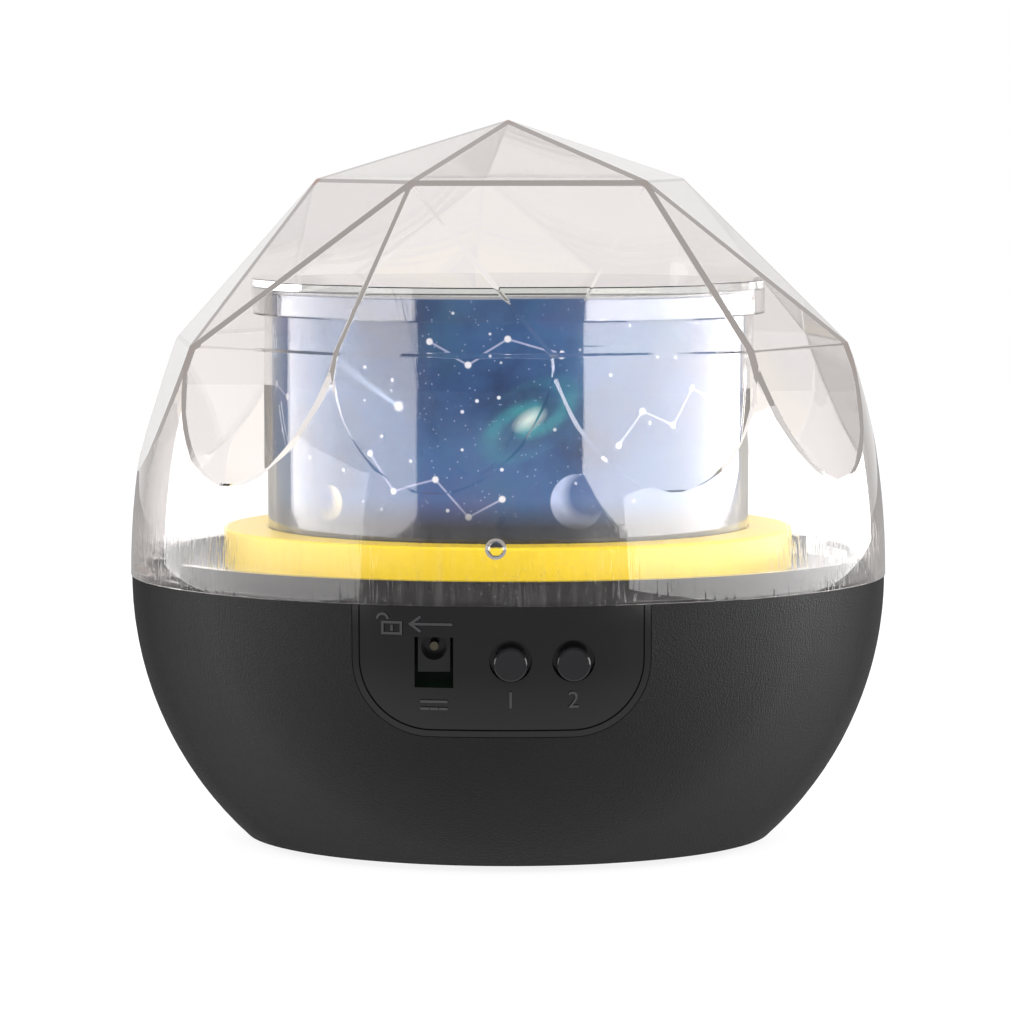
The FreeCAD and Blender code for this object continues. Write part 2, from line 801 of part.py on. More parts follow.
def battery_door():
    low = size.foot_proud
    high = size.foot_proud + size.door_thick
    gap = size.door_gap
    leaf = block("door_leaf", -tray_half_length + gap, tray_half_length - gap, -tray_half_width + gap,
                 tray_half_width - size.door_hinge_gap, low, high)
    half_ear = size.door_ear_width / 2
    ear = block("door_ear", -half_ear, half_ear, -door_ear_front(), -tray_half_width + size.overrun,
                low, high)
    parts = [leaf, ear]
    hinge_z = size.foot_proud + size.door_thick / 2
    for word, side in (("right", 1), ("left", -1)):
        start, end = hinge_span(side)
        parts.append(rod_sideways(f"door_knuckle_{word}", size.hinge_radius, start, end, hinge_line(),
                                  hinge_z))
        parts.append(block(f"door_knuckle_root_{word}", start, end, tray_half_width - size.overrun,
                           hinge_line(), hinge_z - size.hinge_radius, hinge_z))
    ear_y = -tray_half_width - size.door_ear_reach / 2
    hole = rod("door_screw_hole", pilot_radius, low - size.overrun, high + size.overrun, 0, ear_y)
    sink = rod("door_screw_sink", size.screw_head_radius + size.pilot_gap, low - size.overrun,
               low + door_head_height(), 0, ear_y)
    grips = []
    for count in range(GRIP_RIBS):
        start = -tray_half_width + size.door_ear_reach + size.door_thick * count
        grips.append(block(f"door_grip_{count}", -size.door_ear_width, size.door_ear_width, start,
                           start + size.door_thick / 2, low - size.overrun, low + size.drive_slot_depth))
    return node("battery_door", cut("battery_door_cut", fuse("door_whole", *parts), hole, sink, *grips))


def door_head_height():
    return size.door_thick / 2


def battery_door_screw():
    ear_y = -tray_half_width - size.door_ear_reach / 2
    low = size.foot_proud
    head = rod("door_screw_head", size.screw_head_radius, low, low + door_head_height(), 0, ear_y)
    shank = rod("door_screw_shank", size.screw_radius, low + door_head_height(),
                low + size.door_thick + size.door_screw_length, 0, ear_y)
    half = size.drive_slot_width / 2
    slot = block("door_screw_slot", -size.screw_head_radius, size.screw_head_radius, ear_y - half,
                 ear_y + half, low - size.overrun, low + size.drive_slot_depth)
    return node("battery_door_screw", cut("door_screw_cut", fuse("door_screw_blank", head, shank), slot))


def cell_rows():
    """Depth of each cell's axis and which way its nub points."""
    for count in range(CELL_COUNT):
        yield count, cell_pitch * (count - (CELL_COUNT - 1) / 2), 1 if count % 2 else -1


def batteries():
    cells = []
    end = tray_half_length - size.contact_thick
    for count, deep, side in cell_rows():
        shoulder = end - size.cell_nub_length
        start, stop = shoulder - size.cell_length, shoulder
        nub_start, nub_stop = shoulder - size.overrun, end
        if side < 0:
            start, stop = -stop, -start
            nub_start, nub_stop = -nub_stop, -nub_start
        can = rod_sideways(f"cell_can_{count}", size.cell_radius, start, stop, deep, cell_height)
        nub = rod_sideways(f"cell_nub_{count}", size.cell_nub_radius, nub_start, nub_stop, deep,
                           cell_height)
        cells.append(fuse(f"cell_{count}", can, nub))
    return node("batteries", group("batteries_all", *cells))


def contact_block(name, side, deep):
    outer = tray_half_length * side
    inner = (tray_half_length - size.contact_thick) * side
    low_x, high_x = (inner, outer) if side > 0 else (outer, inner)
    half = size.contact_width / 2
    return block(name, low_x, high_x, deep - half, deep + half, cell_height - size.contact_height / 2,
                 cell_height + size.contact_height / 2)


def battery_contacts():
    plates = []
    for count, deep, side in cell_rows():
        plates.append(contact_block(f"contact_plus_{count}", side, deep))
        plates.append(contact_block(f"contact_minus_{count}", -side, deep))
    return node("battery_contacts", group("battery_contacts_all", *plates))


def spring_cone(name, wide, narrow, start, length, side, deep):
    cone = doc.addObject("Part::Cone", name)
    bind(cone, "Radius1", wide)
    bind(cone, "Radius2", narrow)
    bind(cone, "Height", length)
    set_place(cone, start, deep, cell_height, Rotation(Vector(0, side, 0), 90))
    return cone


def contact_springs():
    springs = []
    for count, deep, side in cell_rows():
        start = -(tray_half_length - size.contact_thick) * side
        outer = spring_cone(f"spring_outer_{count}", size.spring_wide, size.spring_narrow, start,
                            size.spring_length, side, deep)
        inner = spring_cone(f"spring_inner_{count}", size.spring_wide - size.spring_wire,
                            size.spring_narrow - size.spring_wire, start, size.spring_length, side, deep)
        springs.append(cut(f"spring_{count}", outer, inner))
    return node("contact_springs", group("contact_springs_all", *springs))


def rubber_feet():
    pads = []
    for count, (across, deep) in enumerate(screw_places(FOOT_AZIMUTHS, foot_circle)):
        pads.append(rod(f"foot_{count}", size.foot_radius, as_size(0),
                        size.foot_proud + size.foot_sink, across, deep))
    return node("rubber_feet", group("rubber_feet_all", *pads))


def base_screws():
    screws = []
    for count, (across, deep) in enumerate(screw_places(BASE_SCREW_AZIMUTHS, base_screw_circle)):
        screws.append(screw(f"base_screw_{count}", size.screw_radius, size.screw_head_radius,
                            size.foot_proud, plate_top + size.base_screw_length - size.blind_stop,
                            across, deep))
    return node("base_screws", group("base_screws_all", *screws))


# Deck


def top_deck():
    hole = size.post_radius + size.fitting_gap
    disc = turned("deck_disc", [
        (hole, deck_under),
        (collar_radius, deck_under),
        (collar_radius, seam + size.collar_height),
        (collar_radius - size.collar_wall, seam + size.collar_height),
        (collar_radius - size.collar_wall, deck_top),
        (hole, deck_top),
    ])
    bosses = []
    tools = []
    boss_low = deck_under - size.deck_boss_height
    for count, centre in enumerate(screw_places(DECK_SCREW_AZIMUTHS, deck_screw_circle)):
        bosses.append(rod(f"deck_boss_{count}", size.deck_boss_radius, boss_low, deck_under + size.overrun,
                          *centre))
        tools.append(rod(f"deck_pilot_{count}", pilot_radius, boss_low - size.overrun, seam, *centre))
    for count, centre in enumerate(screw_places(POST_SCREW_AZIMUTHS, post_screw_circle)):
        tools.append(rod(f"post_pilot_{count}", pilot_radius, deck_under - size.overrun,
                         deck_top - size.blind_stop, *centre))
    for word, side in (("right", 1), ("left", -1)):
        tools.append(rod(f"motor_pilot_{word}", pilot_radius, deck_under - size.overrun,
                         deck_top - size.blind_stop, ear_hole_reach * side, gear_centre))
    tools.append(rod("deck_shaft_hole", size.deck_shaft_hole, deck_under - size.overrun,
                     deck_top + size.overrun, 0, gear_centre))
    inner = collar_radius - size.collar_wall - size.slot_gap
    outer = collar_radius + size.overrun
    low = seam + size.lug_low - size.slot_gap
    lug_top = seam + size.lug_low + size.lug_thick + size.slot_gap
    for count, azimuth in enumerate(LUG_AZIMUTHS):
        tools.append(sector(f"slot_entry_{count}", inner, outer, low,
                            seam + size.collar_height + size.overrun, azimuth, SLOT_ANGLE))
        tools.append(sector(f"slot_lock_{count}", inner, outer, low, lug_top,
                            azimuth - LOCK_ANGLE / 2 - SLOT_ANGLE / 4, LOCK_ANGLE + SLOT_ANGLE / 2))
    return node("top_deck", cut("top_deck_cut", fuse("deck_whole", disc, *bosses), *tools))


def deck_screws():
    screws = []
    head_low = deck_under - size.deck_boss_height - size.deck_lug_thick - size.screw_head_height
    for count, centre in enumerate(screw_places(DECK_SCREW_AZIMUTHS, deck_screw_circle)):
        screws.append(screw(f"deck_screw_{count}", size.screw_radius, size.screw_head_radius, head_low,
                            seam - size.blind_stop, *centre))
    return node("deck_screws", group("deck_screws_all", *screws))


# Gears


def involute_flank(base_radius, low_radius, high_radius):
    """Points of an involute as (radius, angle from its foot)."""
    points = []
    for count in range(FLANK_POINTS):
        radius = low_radius + (high_radius - low_radius) * count / (FLANK_POINTS - 1)
        inside = math.acos(min(base_radius / radius, 1.0))
        points.append((radius, math.tan(inside) - inside))
    return points


def polar_point(radius, angle):
    return Vector(radius * math.sin(angle), -radius * math.cos(angle), 0)


def tooth_outline(teeth, pitch, tip, root_radius, half_thickness, phase, inward):
    """Closed face of a whole gear outline; inward is an internal gear's hole."""
    base = pitch * math.cos(math.radians(PRESSURE_ANGLE))
    low, high = (tip, root_radius) if inward else (max(base, root_radius), tip)
    flank = involute_flank(base, low, high)
    foot = math.tan(math.radians(PRESSURE_ANGLE)) - math.radians(PRESSURE_ANGLE)
    corners = []
    for tooth in range(teeth):
        middle = phase + 2 * math.pi * tooth / teeth
        rising = [(radius, -half_thickness - foot + angle) for radius, angle in flank]
        if not inward and root_radius < base:
            rising.insert(0, (root_radius, rising[0][1]))
        falling = [(radius, -angle) for radius, angle in reversed(rising)]
        corners += [polar_point(radius, middle + angle) for radius, angle in rising + falling]
    return Part.Face(Part.makePolygon(corners + corners[:1]))


def mesh_phase():
    """A pinion tooth points away from the axis of the bowl, into a space of the ring."""
    return math.pi


def ring_teeth_blank():
    """Toothed ring inside the turntable's skirt."""
    module = gear_module.number
    pitch = ring_pitch.number
    tip = pitch - module * RING_ADDENDUM_SHARE
    half_space = math.pi / (2 * RING_TEETH) + size.gear_play.number / (2 * pitch)
    hole = tooth_outline(RING_TEETH, pitch, tip, ring_root.number, half_space, mesh_phase(), True)
    face = size.ring_face.number
    low = (seam + size.turntable_low).number
    outer = ring_root.number + size.skirt_wall.number / 2
    band = Part.makeCylinder(outer, face)
    teeth = band.cut(hole.extrude(Vector(0, 0, face)))
    teeth.translate(Vector(0, 0, low))
    return shape_node("ring_teeth", teeth)


def drive_pinion():
    module = gear_module.number
    pitch = pinion_pitch.number
    half_tooth = math.pi / (2 * PINION_TEETH) - size.gear_play.number / (2 * pitch)
    face = tooth_outline(PINION_TEETH, pitch, pitch + module, pitch - module * TOOTH_ROOT_SHARE,
                         half_tooth, mesh_phase(), False)
    low = (deck_top + size.pinion_rise).number
    thick = size.pinion_face.number
    bore = Part.makeCylinder((size.shaft_radius + size.pilot_gap).number, thick)
    gear = face.extrude(Vector(0, 0, thick)).cut(bore)
    gear.translate(Vector(0, gear_centre.number, low))
    return node("drive_pinion", shape_node("drive_pinion_gear", gear))


# Turntable


def turntable():
    bore = size.post_radius + size.running_gap
    hub = size.post_radius + size.hub_wall
    low = seam + size.turntable_low
    top = seam + size.turntable_top
    under_web = seam + size.web_low
    wall = seat_radius + size.seat_wall
    skirt = ring_root
    edge = size.turntable_edge
    body = turned("turntable_body", [
        (bore, seam + size.hub_low),
        (hub, seam + size.hub_low),
        (hub, under_web),
        (wall, under_web),
        (wall, top - size.seat_wall),
        (skirt, top - size.seat_wall),
        (skirt, low),
        (skirt + size.skirt_wall, low),
        (skirt + size.skirt_wall, top - edge),
        (skirt + size.skirt_wall - edge, top, edge, 1),
        (seat_radius, top),
        (seat_radius, web_top),
        (hub, web_top),
        (hub, seam + size.hub_top),
        (bore, seam + size.hub_top),
    ])
    return node("turntable", fuse("turntable_whole", body, ring_teeth_blank()))


# Film drum


def film_drum():
    ledge_top = drum_foot + size.drum_ledge
    inner = drum_inner
    return node("film_drum", turned("film_drum_body", [
        (inner - size.drum_ledge, drum_foot),
        (drum_radius, drum_foot),
        (drum_radius, seam + drum_top),
        (inner, seam + drum_top),
        (inner, ledge_top),
        (inner - size.drum_ledge, ledge_top),
    ]))


def projection_film():
    outer = drum_inner - size.film_gap
    low = drum_foot + size.drum_ledge + size.fitting_gap
    return node("projection_film", turned("projection_film_body", [
        (outer - size.film_thick, low),
        (outer, low),
        (outer, cap_under - size.film_top_gap),
        (outer - size.film_thick, cap_under - size.film_top_gap),
    ]))


def drum_cap():
    low = cap_under + size.cap_plate - size.cap_skirt
    top = cap_under + size.cap_plate
    edge = size.turntable_edge
    return node("drum_cap", turned("drum_cap_body", [
        (0, cap_under),
        (cap_inner, cap_under),
        (cap_inner, low),
        (cap_outer, low),
        (cap_outer, top - edge),
        (cap_outer - edge, top, edge, 1),
        (0, top),
    ]))


# Lamp post


def lamp_post():
    low = deck_under - size.post_flange_thick
    groove_low = seam + size.hub_top + size.clip_gap
    groove_top = groove_low + size.clip_thick + size.clip_gap
    neck = size.post_radius - size.clip_depth
    top = seam + size.post_top
    body = turned("lamp_post_body", [
        (post_bore, low),
        (post_flange_radius, low),
        (post_flange_radius, deck_under),
        (size.post_radius, deck_under),
        (size.post_radius, groove_low),
        (neck, groove_low),
        (neck, groove_top),
        (size.post_radius, groove_top),
        (size.post_radius, top),
        (post_bore, top),
    ])
    holes = []
    for count, centre in enumerate(screw_places(POST_SCREW_AZIMUTHS, post_screw_circle)):
        holes.append(rod(f"post_hole_{count}", screw_hole, low - size.overrun, deck_under + size.overrun,
                         *centre))
    return node("lamp_post", cut("lamp_post_cut", body, *holes))


def lamp_post_screws():
    screws = []
    head_low = deck_under - size.post_flange_thick - size.screw_head_height
    top = head_low + size.screw_head_height + size.post_screw_length
    for count, centre in enumerate(screw_places(POST_SCREW_AZIMUTHS, post_screw_circle)):
        screws.append(screw(f"post_screw_{count}", size.screw_radius, size.screw_head_radius, head_low,
                            top, *centre))
    return node("lamp_post_screws", group("lamp_post_screws_all", *screws))


def turntable_clip():
    low = seam + size.hub_top + size.clip_gap + size.clip_gap / 2
    high = low + size.clip_thick
    outer = size.post_radius + size.clip_flare
    inner = size.post_radius - size.clip_depth + size.pilot_gap
    ring = cut("clip_ring", rod("clip_outer", outer, low, high),
               rod("clip_inner", inner, low - size.overrun, high + size.overrun))
    half = size.clip_mouth / 2
    mouth = block("clip_mouth", -half, half, as_size(0), outer + size.overrun,
                  low - size.overrun, high + size.overrun)
    return node("turntable_clip", cut("turntable_clip_cut", ring, mouth))


def led_board():
    low = seam + size.post_top
    disc = rod("led_board_disc", size.post_radius - size.board_disc_inset, low, low + size.board_thick)
    holes = []
    for word, side in (("right", 1), ("left", -1)):
        holes.append(rod(f"led_wire_hole_{word}", size.lead_radius + size.pilot_gap, low - size.overrun,
                         low + size.board_thick + size.overrun, size.lead_pitch * side,
                         -size.led_side))
    return node("led_board", cut("led_board_cut", disc, *holes))


def led_lamp():
    low = seam + size.post_top + size.board_thick
    half = size.led_side / 2
    package = block("led_package", -half, half, -half, half, low, low + size.led_thick)
    ball = doc.addObject("Part::Sphere", "led_ball")
    bind(ball, "Radius", size.led_ball)
    set_place(ball, 0, 0, low + size.led_thick, Rotation())
    collar = block("led_above", -half, half, -half, half, low, low + size.led_thick + size.led_ball)
    return node("led_lamp", fuse("led_lamp_whole", package, common("led_dome", ball, collar)))


# Motor


def case_low():
    return deck_under - size.case_height


def gearbox_case():
    half = size.case_width / 2
    deep = size.case_depth / 2
    low = case_low()
    case = block("case_block", -half, half, gear_centre - deep, gear_centre + deep, low, deck_under)
    span = ear_hole_reach + size.ear_margin
    ears = block("case_ears", -span, span, gear_centre - size.ear_width / 2,
                 gear_centre + size.ear_width / 2, deck_under - size.ear_thick, deck_under)
    tools = []
    for word, side in (("right", 1), ("left", -1)):
        tools.append(rod(f"ear_hole_{word}", screw_hole, deck_under - size.ear_thick - size.overrun,
                         deck_under + size.overrun, ear_hole_reach * side, gear_centre))
    tools.append(rod("case_bore", size.shaft_radius + size.running_gap,
                     deck_under - size.shaft_sink - size.running_gap,
                     deck_under + size.overrun, 0, gear_centre))
    return node("gearbox_case", cut("gearbox_case_cut", fuse("case_whole", case, ears), *tools))


def motor_can():
    top = case_low()
    low = top - size.can_height
    can = rod("can_body", size.can_radius, low, top, 0, gear_centre)
    neck = rod("can_neck", size.can_neck_radius, low - size.can_neck_height, low, 0, gear_centre)
    tabs = []
    for word, side in (("right", 1), ("left", -1)):
        across = (size.can_neck_radius + size.lead_pitch) * side
        half = size.lead_radius
        tabs.append(block(f"can_tab_{word}", across - half, across + half, gear_centre - 2 * half,
                          gear_centre + 2 * half, low - size.can_neck_height, low))
    return node("motor_can", fuse("motor_can_whole", can, neck, *tabs))


def motor_screws():
    screws = []
    head_low = deck_under - size.ear_thick - size.screw_head_height
    for word, side in (("right", 1), ("left", -1)):
        screws.append(screw(f"motor_screw_{word}", size.screw_radius, size.screw_head_radius, head_low,
                            head_low + size.screw_head_height + size.motor_screw_length,
                            ear_hole_reach * side, gear_centre))
    return node("motor_screws", group("motor_screws_all", *screws))


def output_shaft():
    return node("output_shaft", rod("output_shaft_rod", size.shaft_radius, deck_under - size.shaft_sink,
                                    deck_top + size.pinion_rise + size.pinion_face, 0, gear_centre))


# Control board, buttons and socket


def board_sides():
    return size.panel_offset - board_half_width, size.panel_offset + board_half_width


def main_board():
    left, right = board_sides()
    return node("main_board", block("main_board_block", left, right, -board_front, -board_back,
                                    seam - size.board_low_drop, seam - size.board_top_drop))


def board_components():
    middle = seam - (size.board_top_drop + size.board_low_drop) / 2
    left, right = board_sides()
    parts = [block("driver_chip", size.panel_offset - size.chip_width / 2,
                   size.panel_offset + size.chip_width / 2, -board_back, -board_back + size.chip_thick,
                   middle, middle + size.chip_height)]
    for count in range(2):
        side = 1 if count else -1
        step = size.chip_width / 2 + CAPACITOR_STEP_SHARE * size.capacitor_radius
        across = size.panel_offset + step * side
        parts.append(rod_forward(f"capacitor_{count}", size.capacitor_radius,
                                 board_back - size.capacitor_height, board_back, across, middle))
    for count, across in enumerate(plug_places()):
        half = size.plug_block_width / 2
        parts.append(block(f"plug_block_{count}", across - half, across + half, -board_back,
                           -board_back + size.plug_block_depth, plug_low(),
                           plug_low() + size.plug_block_height))
    return node("board_components", group("board_components_all", *parts))


def plug_low():
    return seam - size.board_low_drop + size.blind_stop


def plug_places():
    """Places across the board of the plugs for battery, motor and lamp leads."""
    left, right = board_sides()
    first = left + size.rail_width + size.plug_block_width / 2
    return [first + size.plug_block_width * PLUG_STEP_SHARE * count for count in range(PLUG_COUNT)]


def button_places():
    return (("left", size.button_one_across), ("right", size.button_two_across))


def switch_front():
    return board_front + size.switch_depth


def switch_bodies():
    bodies = []
    half = size.switch_side / 2
    high = seam - size.button_drop
    for word, across in button_places():
        can = block(f"switch_can_{word}", across - half, across + half, -switch_front(), -board_front,
                    high - half, high + half)
        well = rod_forward(f"switch_well_{word}", size.plunger_radius + size.running_gap,
                           switch_front() - size.plunger_sink - size.press_travel - size.fitting_gap,
                           switch_front() + size.overrun, across, high)
        bodies.append(cut(f"switch_{word}", can, well))
    return node("switch_bodies", group("switch_bodies_all", *bodies))


def switch_plungers():
    for word, across in button_places():
        node(f"{word}_switch_plunger",
             rod_forward(f"{word}_plunger_rod", size.plunger_radius, switch_front() - size.plunger_sink,
                         switch_front() + size.plunger_proud, across, seam - size.button_drop))


def cap_front(across):
    """How far forward a button's cap reaches."""
    reach = bowl_reach(size.button_drop, 0)
    return root(reach * reach - across * across) + size.button_proud


def push_button(word, across):
    """Cap with a rounded rim, a flange that keeps it in, and a stem to the switch."""
    front = cap_front(across)
    edge = size.button_edge
    barrel = size.button_radius
    flange = size.button_flange_radius
    inner_wall = bowl_reach(size.button_drop + size.hole_radius, size.bowl_wall)
    far_edge = across + size.hole_radius
    flange_front = root(inner_wall * inner_wall - far_edge * far_edge) - size.button_flange_gap
    flange_back = flange_front - size.button_flange_thick
    stem_back = switch_front() + size.plunger_proud
    body = turned(f"{word}_button_body", [
        (0, stem_back),
        (barrel, stem_back),
        (barrel, flange_back),
        (flange, flange_back),
        (flange, flange_front),
        (barrel, flange_front),
        (barrel, front - edge),
        (barrel - edge, front, edge, 1),
        (0, front),
    ])
    set_place(body, across, 0, seam - size.button_drop, Rotation(ALONG_X, 90))
    return node(f"{word}_button", body)


def dc_jack():
    half = size.jack_width / 2
    front = board_front + size.jack_depth
    top = seam - size.jack_top_drop
    body = block("jack_block", size.socket_across - half, size.socket_across + half, -front,
                 -board_front, top - size.jack_height, top)
    bore = rod_forward("jack_bore", size.jack_bore, front - size.jack_bore_depth, front + size.overrun,
                       size.socket_across, seam - size.jack_bore_drop)
    return node("dc_jack", cut("dc_jack_cut", body, bore))


def dc_jack_pin():
    back = board_front + size.jack_depth - size.jack_bore_depth
    return node("dc_jack_pin", rod_forward("dc_jack_pin_rod", size.jack_pin_radius, back,
                                           back + size.jack_pin_length, size.socket_across,
                                           seam - size.jack_bore_drop))


# Dome


def plane_through(first, second, third):
    """Outward normal and distance of the plane through three corners."""
    normal = (second - first).cross(third - first).normalize()
    if normal.dot(first - Vector(0, 0, first.z / 2)) < 0:
        normal = -normal
    return normal, normal.dot(first)


def facet_planes():
    """Flat faces of the dome: apex, crown, side and shield faces, with heights from the seam."""
    def corner(radius, height, azimuth):
        out_x, out_y = outward(azimuth)
        return Vector(radius.number * out_x, radius.number * out_y, height.number)

    crown_step = 360 / CROWN_SIDES
    apex = Vector(0, 0, dome_height.number)
    planes = []
    for side in range(CROWN_SIDES):
        azimuth = CROWN_AZIMUTH + crown_step * side
        near = corner(crown_radius, crown_height, azimuth)
        far = corner(crown_radius, crown_height, azimuth + crown_step)
        low_near = corner(girdle_radius, size.girdle_height, azimuth)
        low_middle = corner(girdle_radius, size.girdle_height, azimuth + crown_step / 2)
        low_far = corner(girdle_radius, size.girdle_height, azimuth + crown_step)
        planes.append(plane_through(apex, near, far))
        planes.append(plane_through(near, far, low_middle))
        planes.append(plane_through(near, low_near, low_middle))
        planes.append(plane_through(far, low_far, low_middle))
    girdle_step = 360 / GIRDLE_SIDES
    for side in range(GIRDLE_SIDES):
        azimuth = CROWN_AZIMUTH + girdle_step * side
        near = corner(girdle_radius, size.girdle_height, azimuth)
        far = corner(girdle_radius, size.girdle_height, azimuth + girdle_step)
        foot = corner(shield_foot_radius, shield_foot_height, azimuth + girdle_step / 2)
        planes.append(plane_through(near, far, foot))
    return planes


def facet_block(name, depth, below):
    """Convex solid inside all the dome's flat faces, moved inwards by a depth."""
    planes = [(normal, distance - depth.number) for normal, distance in facet_planes()]
    planes.append((Vector(0, 0, -1), below.number))
    corners = []
    for first in range(len(planes)):
        for second in range(first + 1, len(planes)):
            for third in range(second + 1, len(planes)):
                spot = plane_corner(planes[first], planes[second], planes[third])
                if spot is None:
                    continue
                if all(normal.dot(spot) <= distance + CORNER_SLACK for normal, distance in planes):
                    corners.append(spot)
    faces = []
    for normal, distance in planes:
        ring = []
        for spot in corners:
            if abs(normal.dot(spot) - distance) > CORNER_SLACK:
                continue
            if all((spot - other).Length > CORNER_MERGE for other in ring):
                ring.append(spot)
        if len(ring) < 3:
            continue
        middle = sum(ring, Vector()) * (1 / len(ring))
        across = (ring[0] - middle).normalize()
        along = normal.cross(across)
        ring.sort(key=lambda spot: math.atan2((spot - middle).dot(along), (spot - middle).dot(across)))
        faces.append(Part.Face(Part.makePolygon(ring + ring[:1])))
    shell = Part.Shell(faces)
    shell.sewShape()
    solid = Part.Solid(shell)
    solid.translate(Vector(0, 0, seam.number))
    return shape_node(name, solid)


def plane_corner(first, second, third):
    span = first[0].dot(second[0].cross(third[0]))
    if abs(span) < CORNER_SLACK:
        return None
    spot = (second[0].cross(third[0]) * first[1] + third[0].cross(first[0]) * second[1]
            + first[0].cross(second[0]) * third[1])
    return spot * (1 / span)


def dome_turned(name, depth, low):
    """The dome's round wall, filled, its face that far inside the outer face."""
    radius = size.dome_arc - depth
    top = dome_height + size.overrun
    top_radius = dome_centre + root(radius * radius - top * top)
    corners = [(0, low), (dome_radius - depth, low)]
    if low.number < seam.number:
        corners.append((dome_radius - depth, seam))
    corners.append((top_radius, seam + top, radius, 1))
    corners.append((0, seam + top))
    return turned(name, corners)


def diamond_dome():
    wall = size.dome_wall
    outside = common("dome_outside", dome_turned("dome_round", as_size(0), seam),
                     facet_block("dome_facets", as_size(0), size.overrun))
    inside = common("dome_inside", dome_turned("dome_hollow", wall, seam - size.overrun),
                    facet_block("dome_facets_inner", wall, 2 * size.overrun))
    out_x, out_y = outward(BUMP_AZIMUTH)
    reach = dome_reach(size.bump_height) + size.bump_proud - size.bump_ball
    ball = doc.addObject("Part::Sphere", "dome_bump")
    bind(ball, "Radius", size.bump_ball)
    set_place(ball, reach * out_x, reach * out_y, seam + size.bump_height, Rotation())
    shell = cut("dome_shell", fuse("dome_with_bump", outside, ball), inside)
    lugs = []
    low = seam + size.lug_low
    for count, azimuth in enumerate(LUG_AZIMUTHS):
        lugs.append(sector(f"dome_lug_{count}", dome_radius - wall - size.lug_reach,
                           dome_radius - wall / 2, low, low + size.lug_thick, azimuth, LUG_ANGLE))
    return node("diamond_dome", fuse("diamond_dome_whole", shell, *lugs))


# Leads


def lead_path(points):
    """Straight runs joined by tangent arcs, each arc 0.45 of the shorter run at its corner."""
    edges = []
    start = points[0]
    for index in range(1, len(points) - 1):
        before = points[index - 1] - points[index]
        after = points[index + 1] - points[index]
        turn = math.pi - before.getAngle(after)
        reach = ARC_SHARE * min(before.Length, after.Length)
        before.normalize()
        after.normalize()
        enter = points[index] + before * reach
        leave = points[index] + after * reach
        radius = reach / math.tan(turn / 2)
        middle_way = (before + after).normalize()
        middle = points[index] + middle_way * (radius / math.cos(turn / 2) - radius)
        edges.append(Part.LineSegment(start, enter).toShape())
        edges.append(Part.Arc(enter, middle, leave).toShape())
        start = leave
    edges.append(Part.LineSegment(start, points[-1]).toShape())
    return Part.Wire(edges)


def lead(points):
    spots = [Vector(*[as_size(value).number for value in point]) for point in points]
    path = lead_path(spots)
    heading = spots[1] - spots[0]
    ring = Part.Wire([Part.makeCircle(size.lead_radius.number, spots[0], heading)])
    return path.makePipeShell([ring], True, False)


def lead_pair(name, route, spread, last_spread):
    """Two leads side by side; the spreads are the steps between them, the last at its end."""
    leads = []
    for side in (-1, 1):
        moved = []
        for index, point in enumerate(route):
            step = last_spread if index >= len(route) - 2 else spread
            moved.append([value + gap * (side / 2) for value, gap in zip(map(as_size, point), step)])
        leads.append(lead(moved))
    return node(name, shape_node(f"{name}_tubes", Part.makeCompound(leads)))


def plug_end(count):
    """Where leads meet the back of a plug block."""
    across = plug_places()[count]
    return across, -board_back + size.plug_block_depth, plug_low() + size.plug_block_height / 2


def battery_leads():
    across, deep, high = plug_end(0)
    tray_end = -tray_half_length - size.tray_wall
    room = size.plug_block_depth
    route = [
        (across, deep, high),
        (across, deep + room, high),
        (across - room, deep + 2 * room, high - room),
        (tray_end - 2 * room, -tray_half_width / 2, cell_height + room),
        (tray_end - room, -tray_half_width / 4, cell_height),
        (tray_end, -tray_half_width / 4, cell_height),
    ]
    spread = (0, 0, size.lead_pitch)
    return lead_pair("battery_leads", route, spread, spread)


def motor_leads():
    across, deep, high = plug_end(1)
    room = size.plug_block_depth
    low = case_low() - size.can_height - size.can_neck_height
    route = [
        (across, deep, high),
        (across, deep + 2 * room, high),
        (across / 2, -tray_half_width / 4, high - room / 2),
        (0, tray_half_width, tray_top + size.lead_rise),
        (0, gear_centre, low - room / 2),
        (0, gear_centre, low),
    ]
    tabs = (2 * (size.can_neck_radius + size.lead_pitch), 0, 0)
    return lead_pair("motor_leads", route, (size.lead_pitch, 0, 0), tabs)


def lamp_leads():
    across, deep, high = plug_end(2)
    room = size.plug_block_depth
    top = seam + size.post_top + size.board_thick
    route = [
        (across, deep, high),
        (across, deep + 2 * room, high),
        (0, -size.led_side - 3 * room, high - room / 2),
        (0, -size.led_side, high + room / 2),
        (0, -size.led_side, top),
    ]
    spread = (2 * size.lead_pitch, 0, 0)
    return lead_pair("lamp_leads", route, spread, spread)


def build():
    base_bowl()
    control_panel()
    base_plate()
    base_screws()
    rubber_feet()
    battery_door()
    battery_door_screw()
    batteries()
    battery_contacts()
    contact_springs()
    top_deck()
    deck_screws()
    turntable()
    turntable_clip()
    lamp_post()
    lamp_post_screws()
    led_board()
    led_lamp()
    gearbox_case()
    motor_can()
    motor_screws()
    output_shaft()
    drive_pinion()
    film_drum()
    projection_film()
    drum_cap()
    main_board()
    board_components()
    switch_bodies()
    switch_plungers()
    for word, across in button_places():
        push_button(word, across)
    dc_jack()
    dc_jack_pin()
    diamond_dome()
    battery_leads()
    motor_leads()
    lamp_leads()
    doc.recompute()


def check_document():
    for thing in doc.Objects:
        if "Invalid" in thing.State or "Error" in thing.State:
            raise RuntimeError(f"{thing.Name} is {thing.State}")
    for name, thing in NODES.items():
        shape = thing.Shape
        if shape.isNull() or not shape.isValid() or not shape.Solids:
            raise RuntimeError(f"{name} has no valid solid")


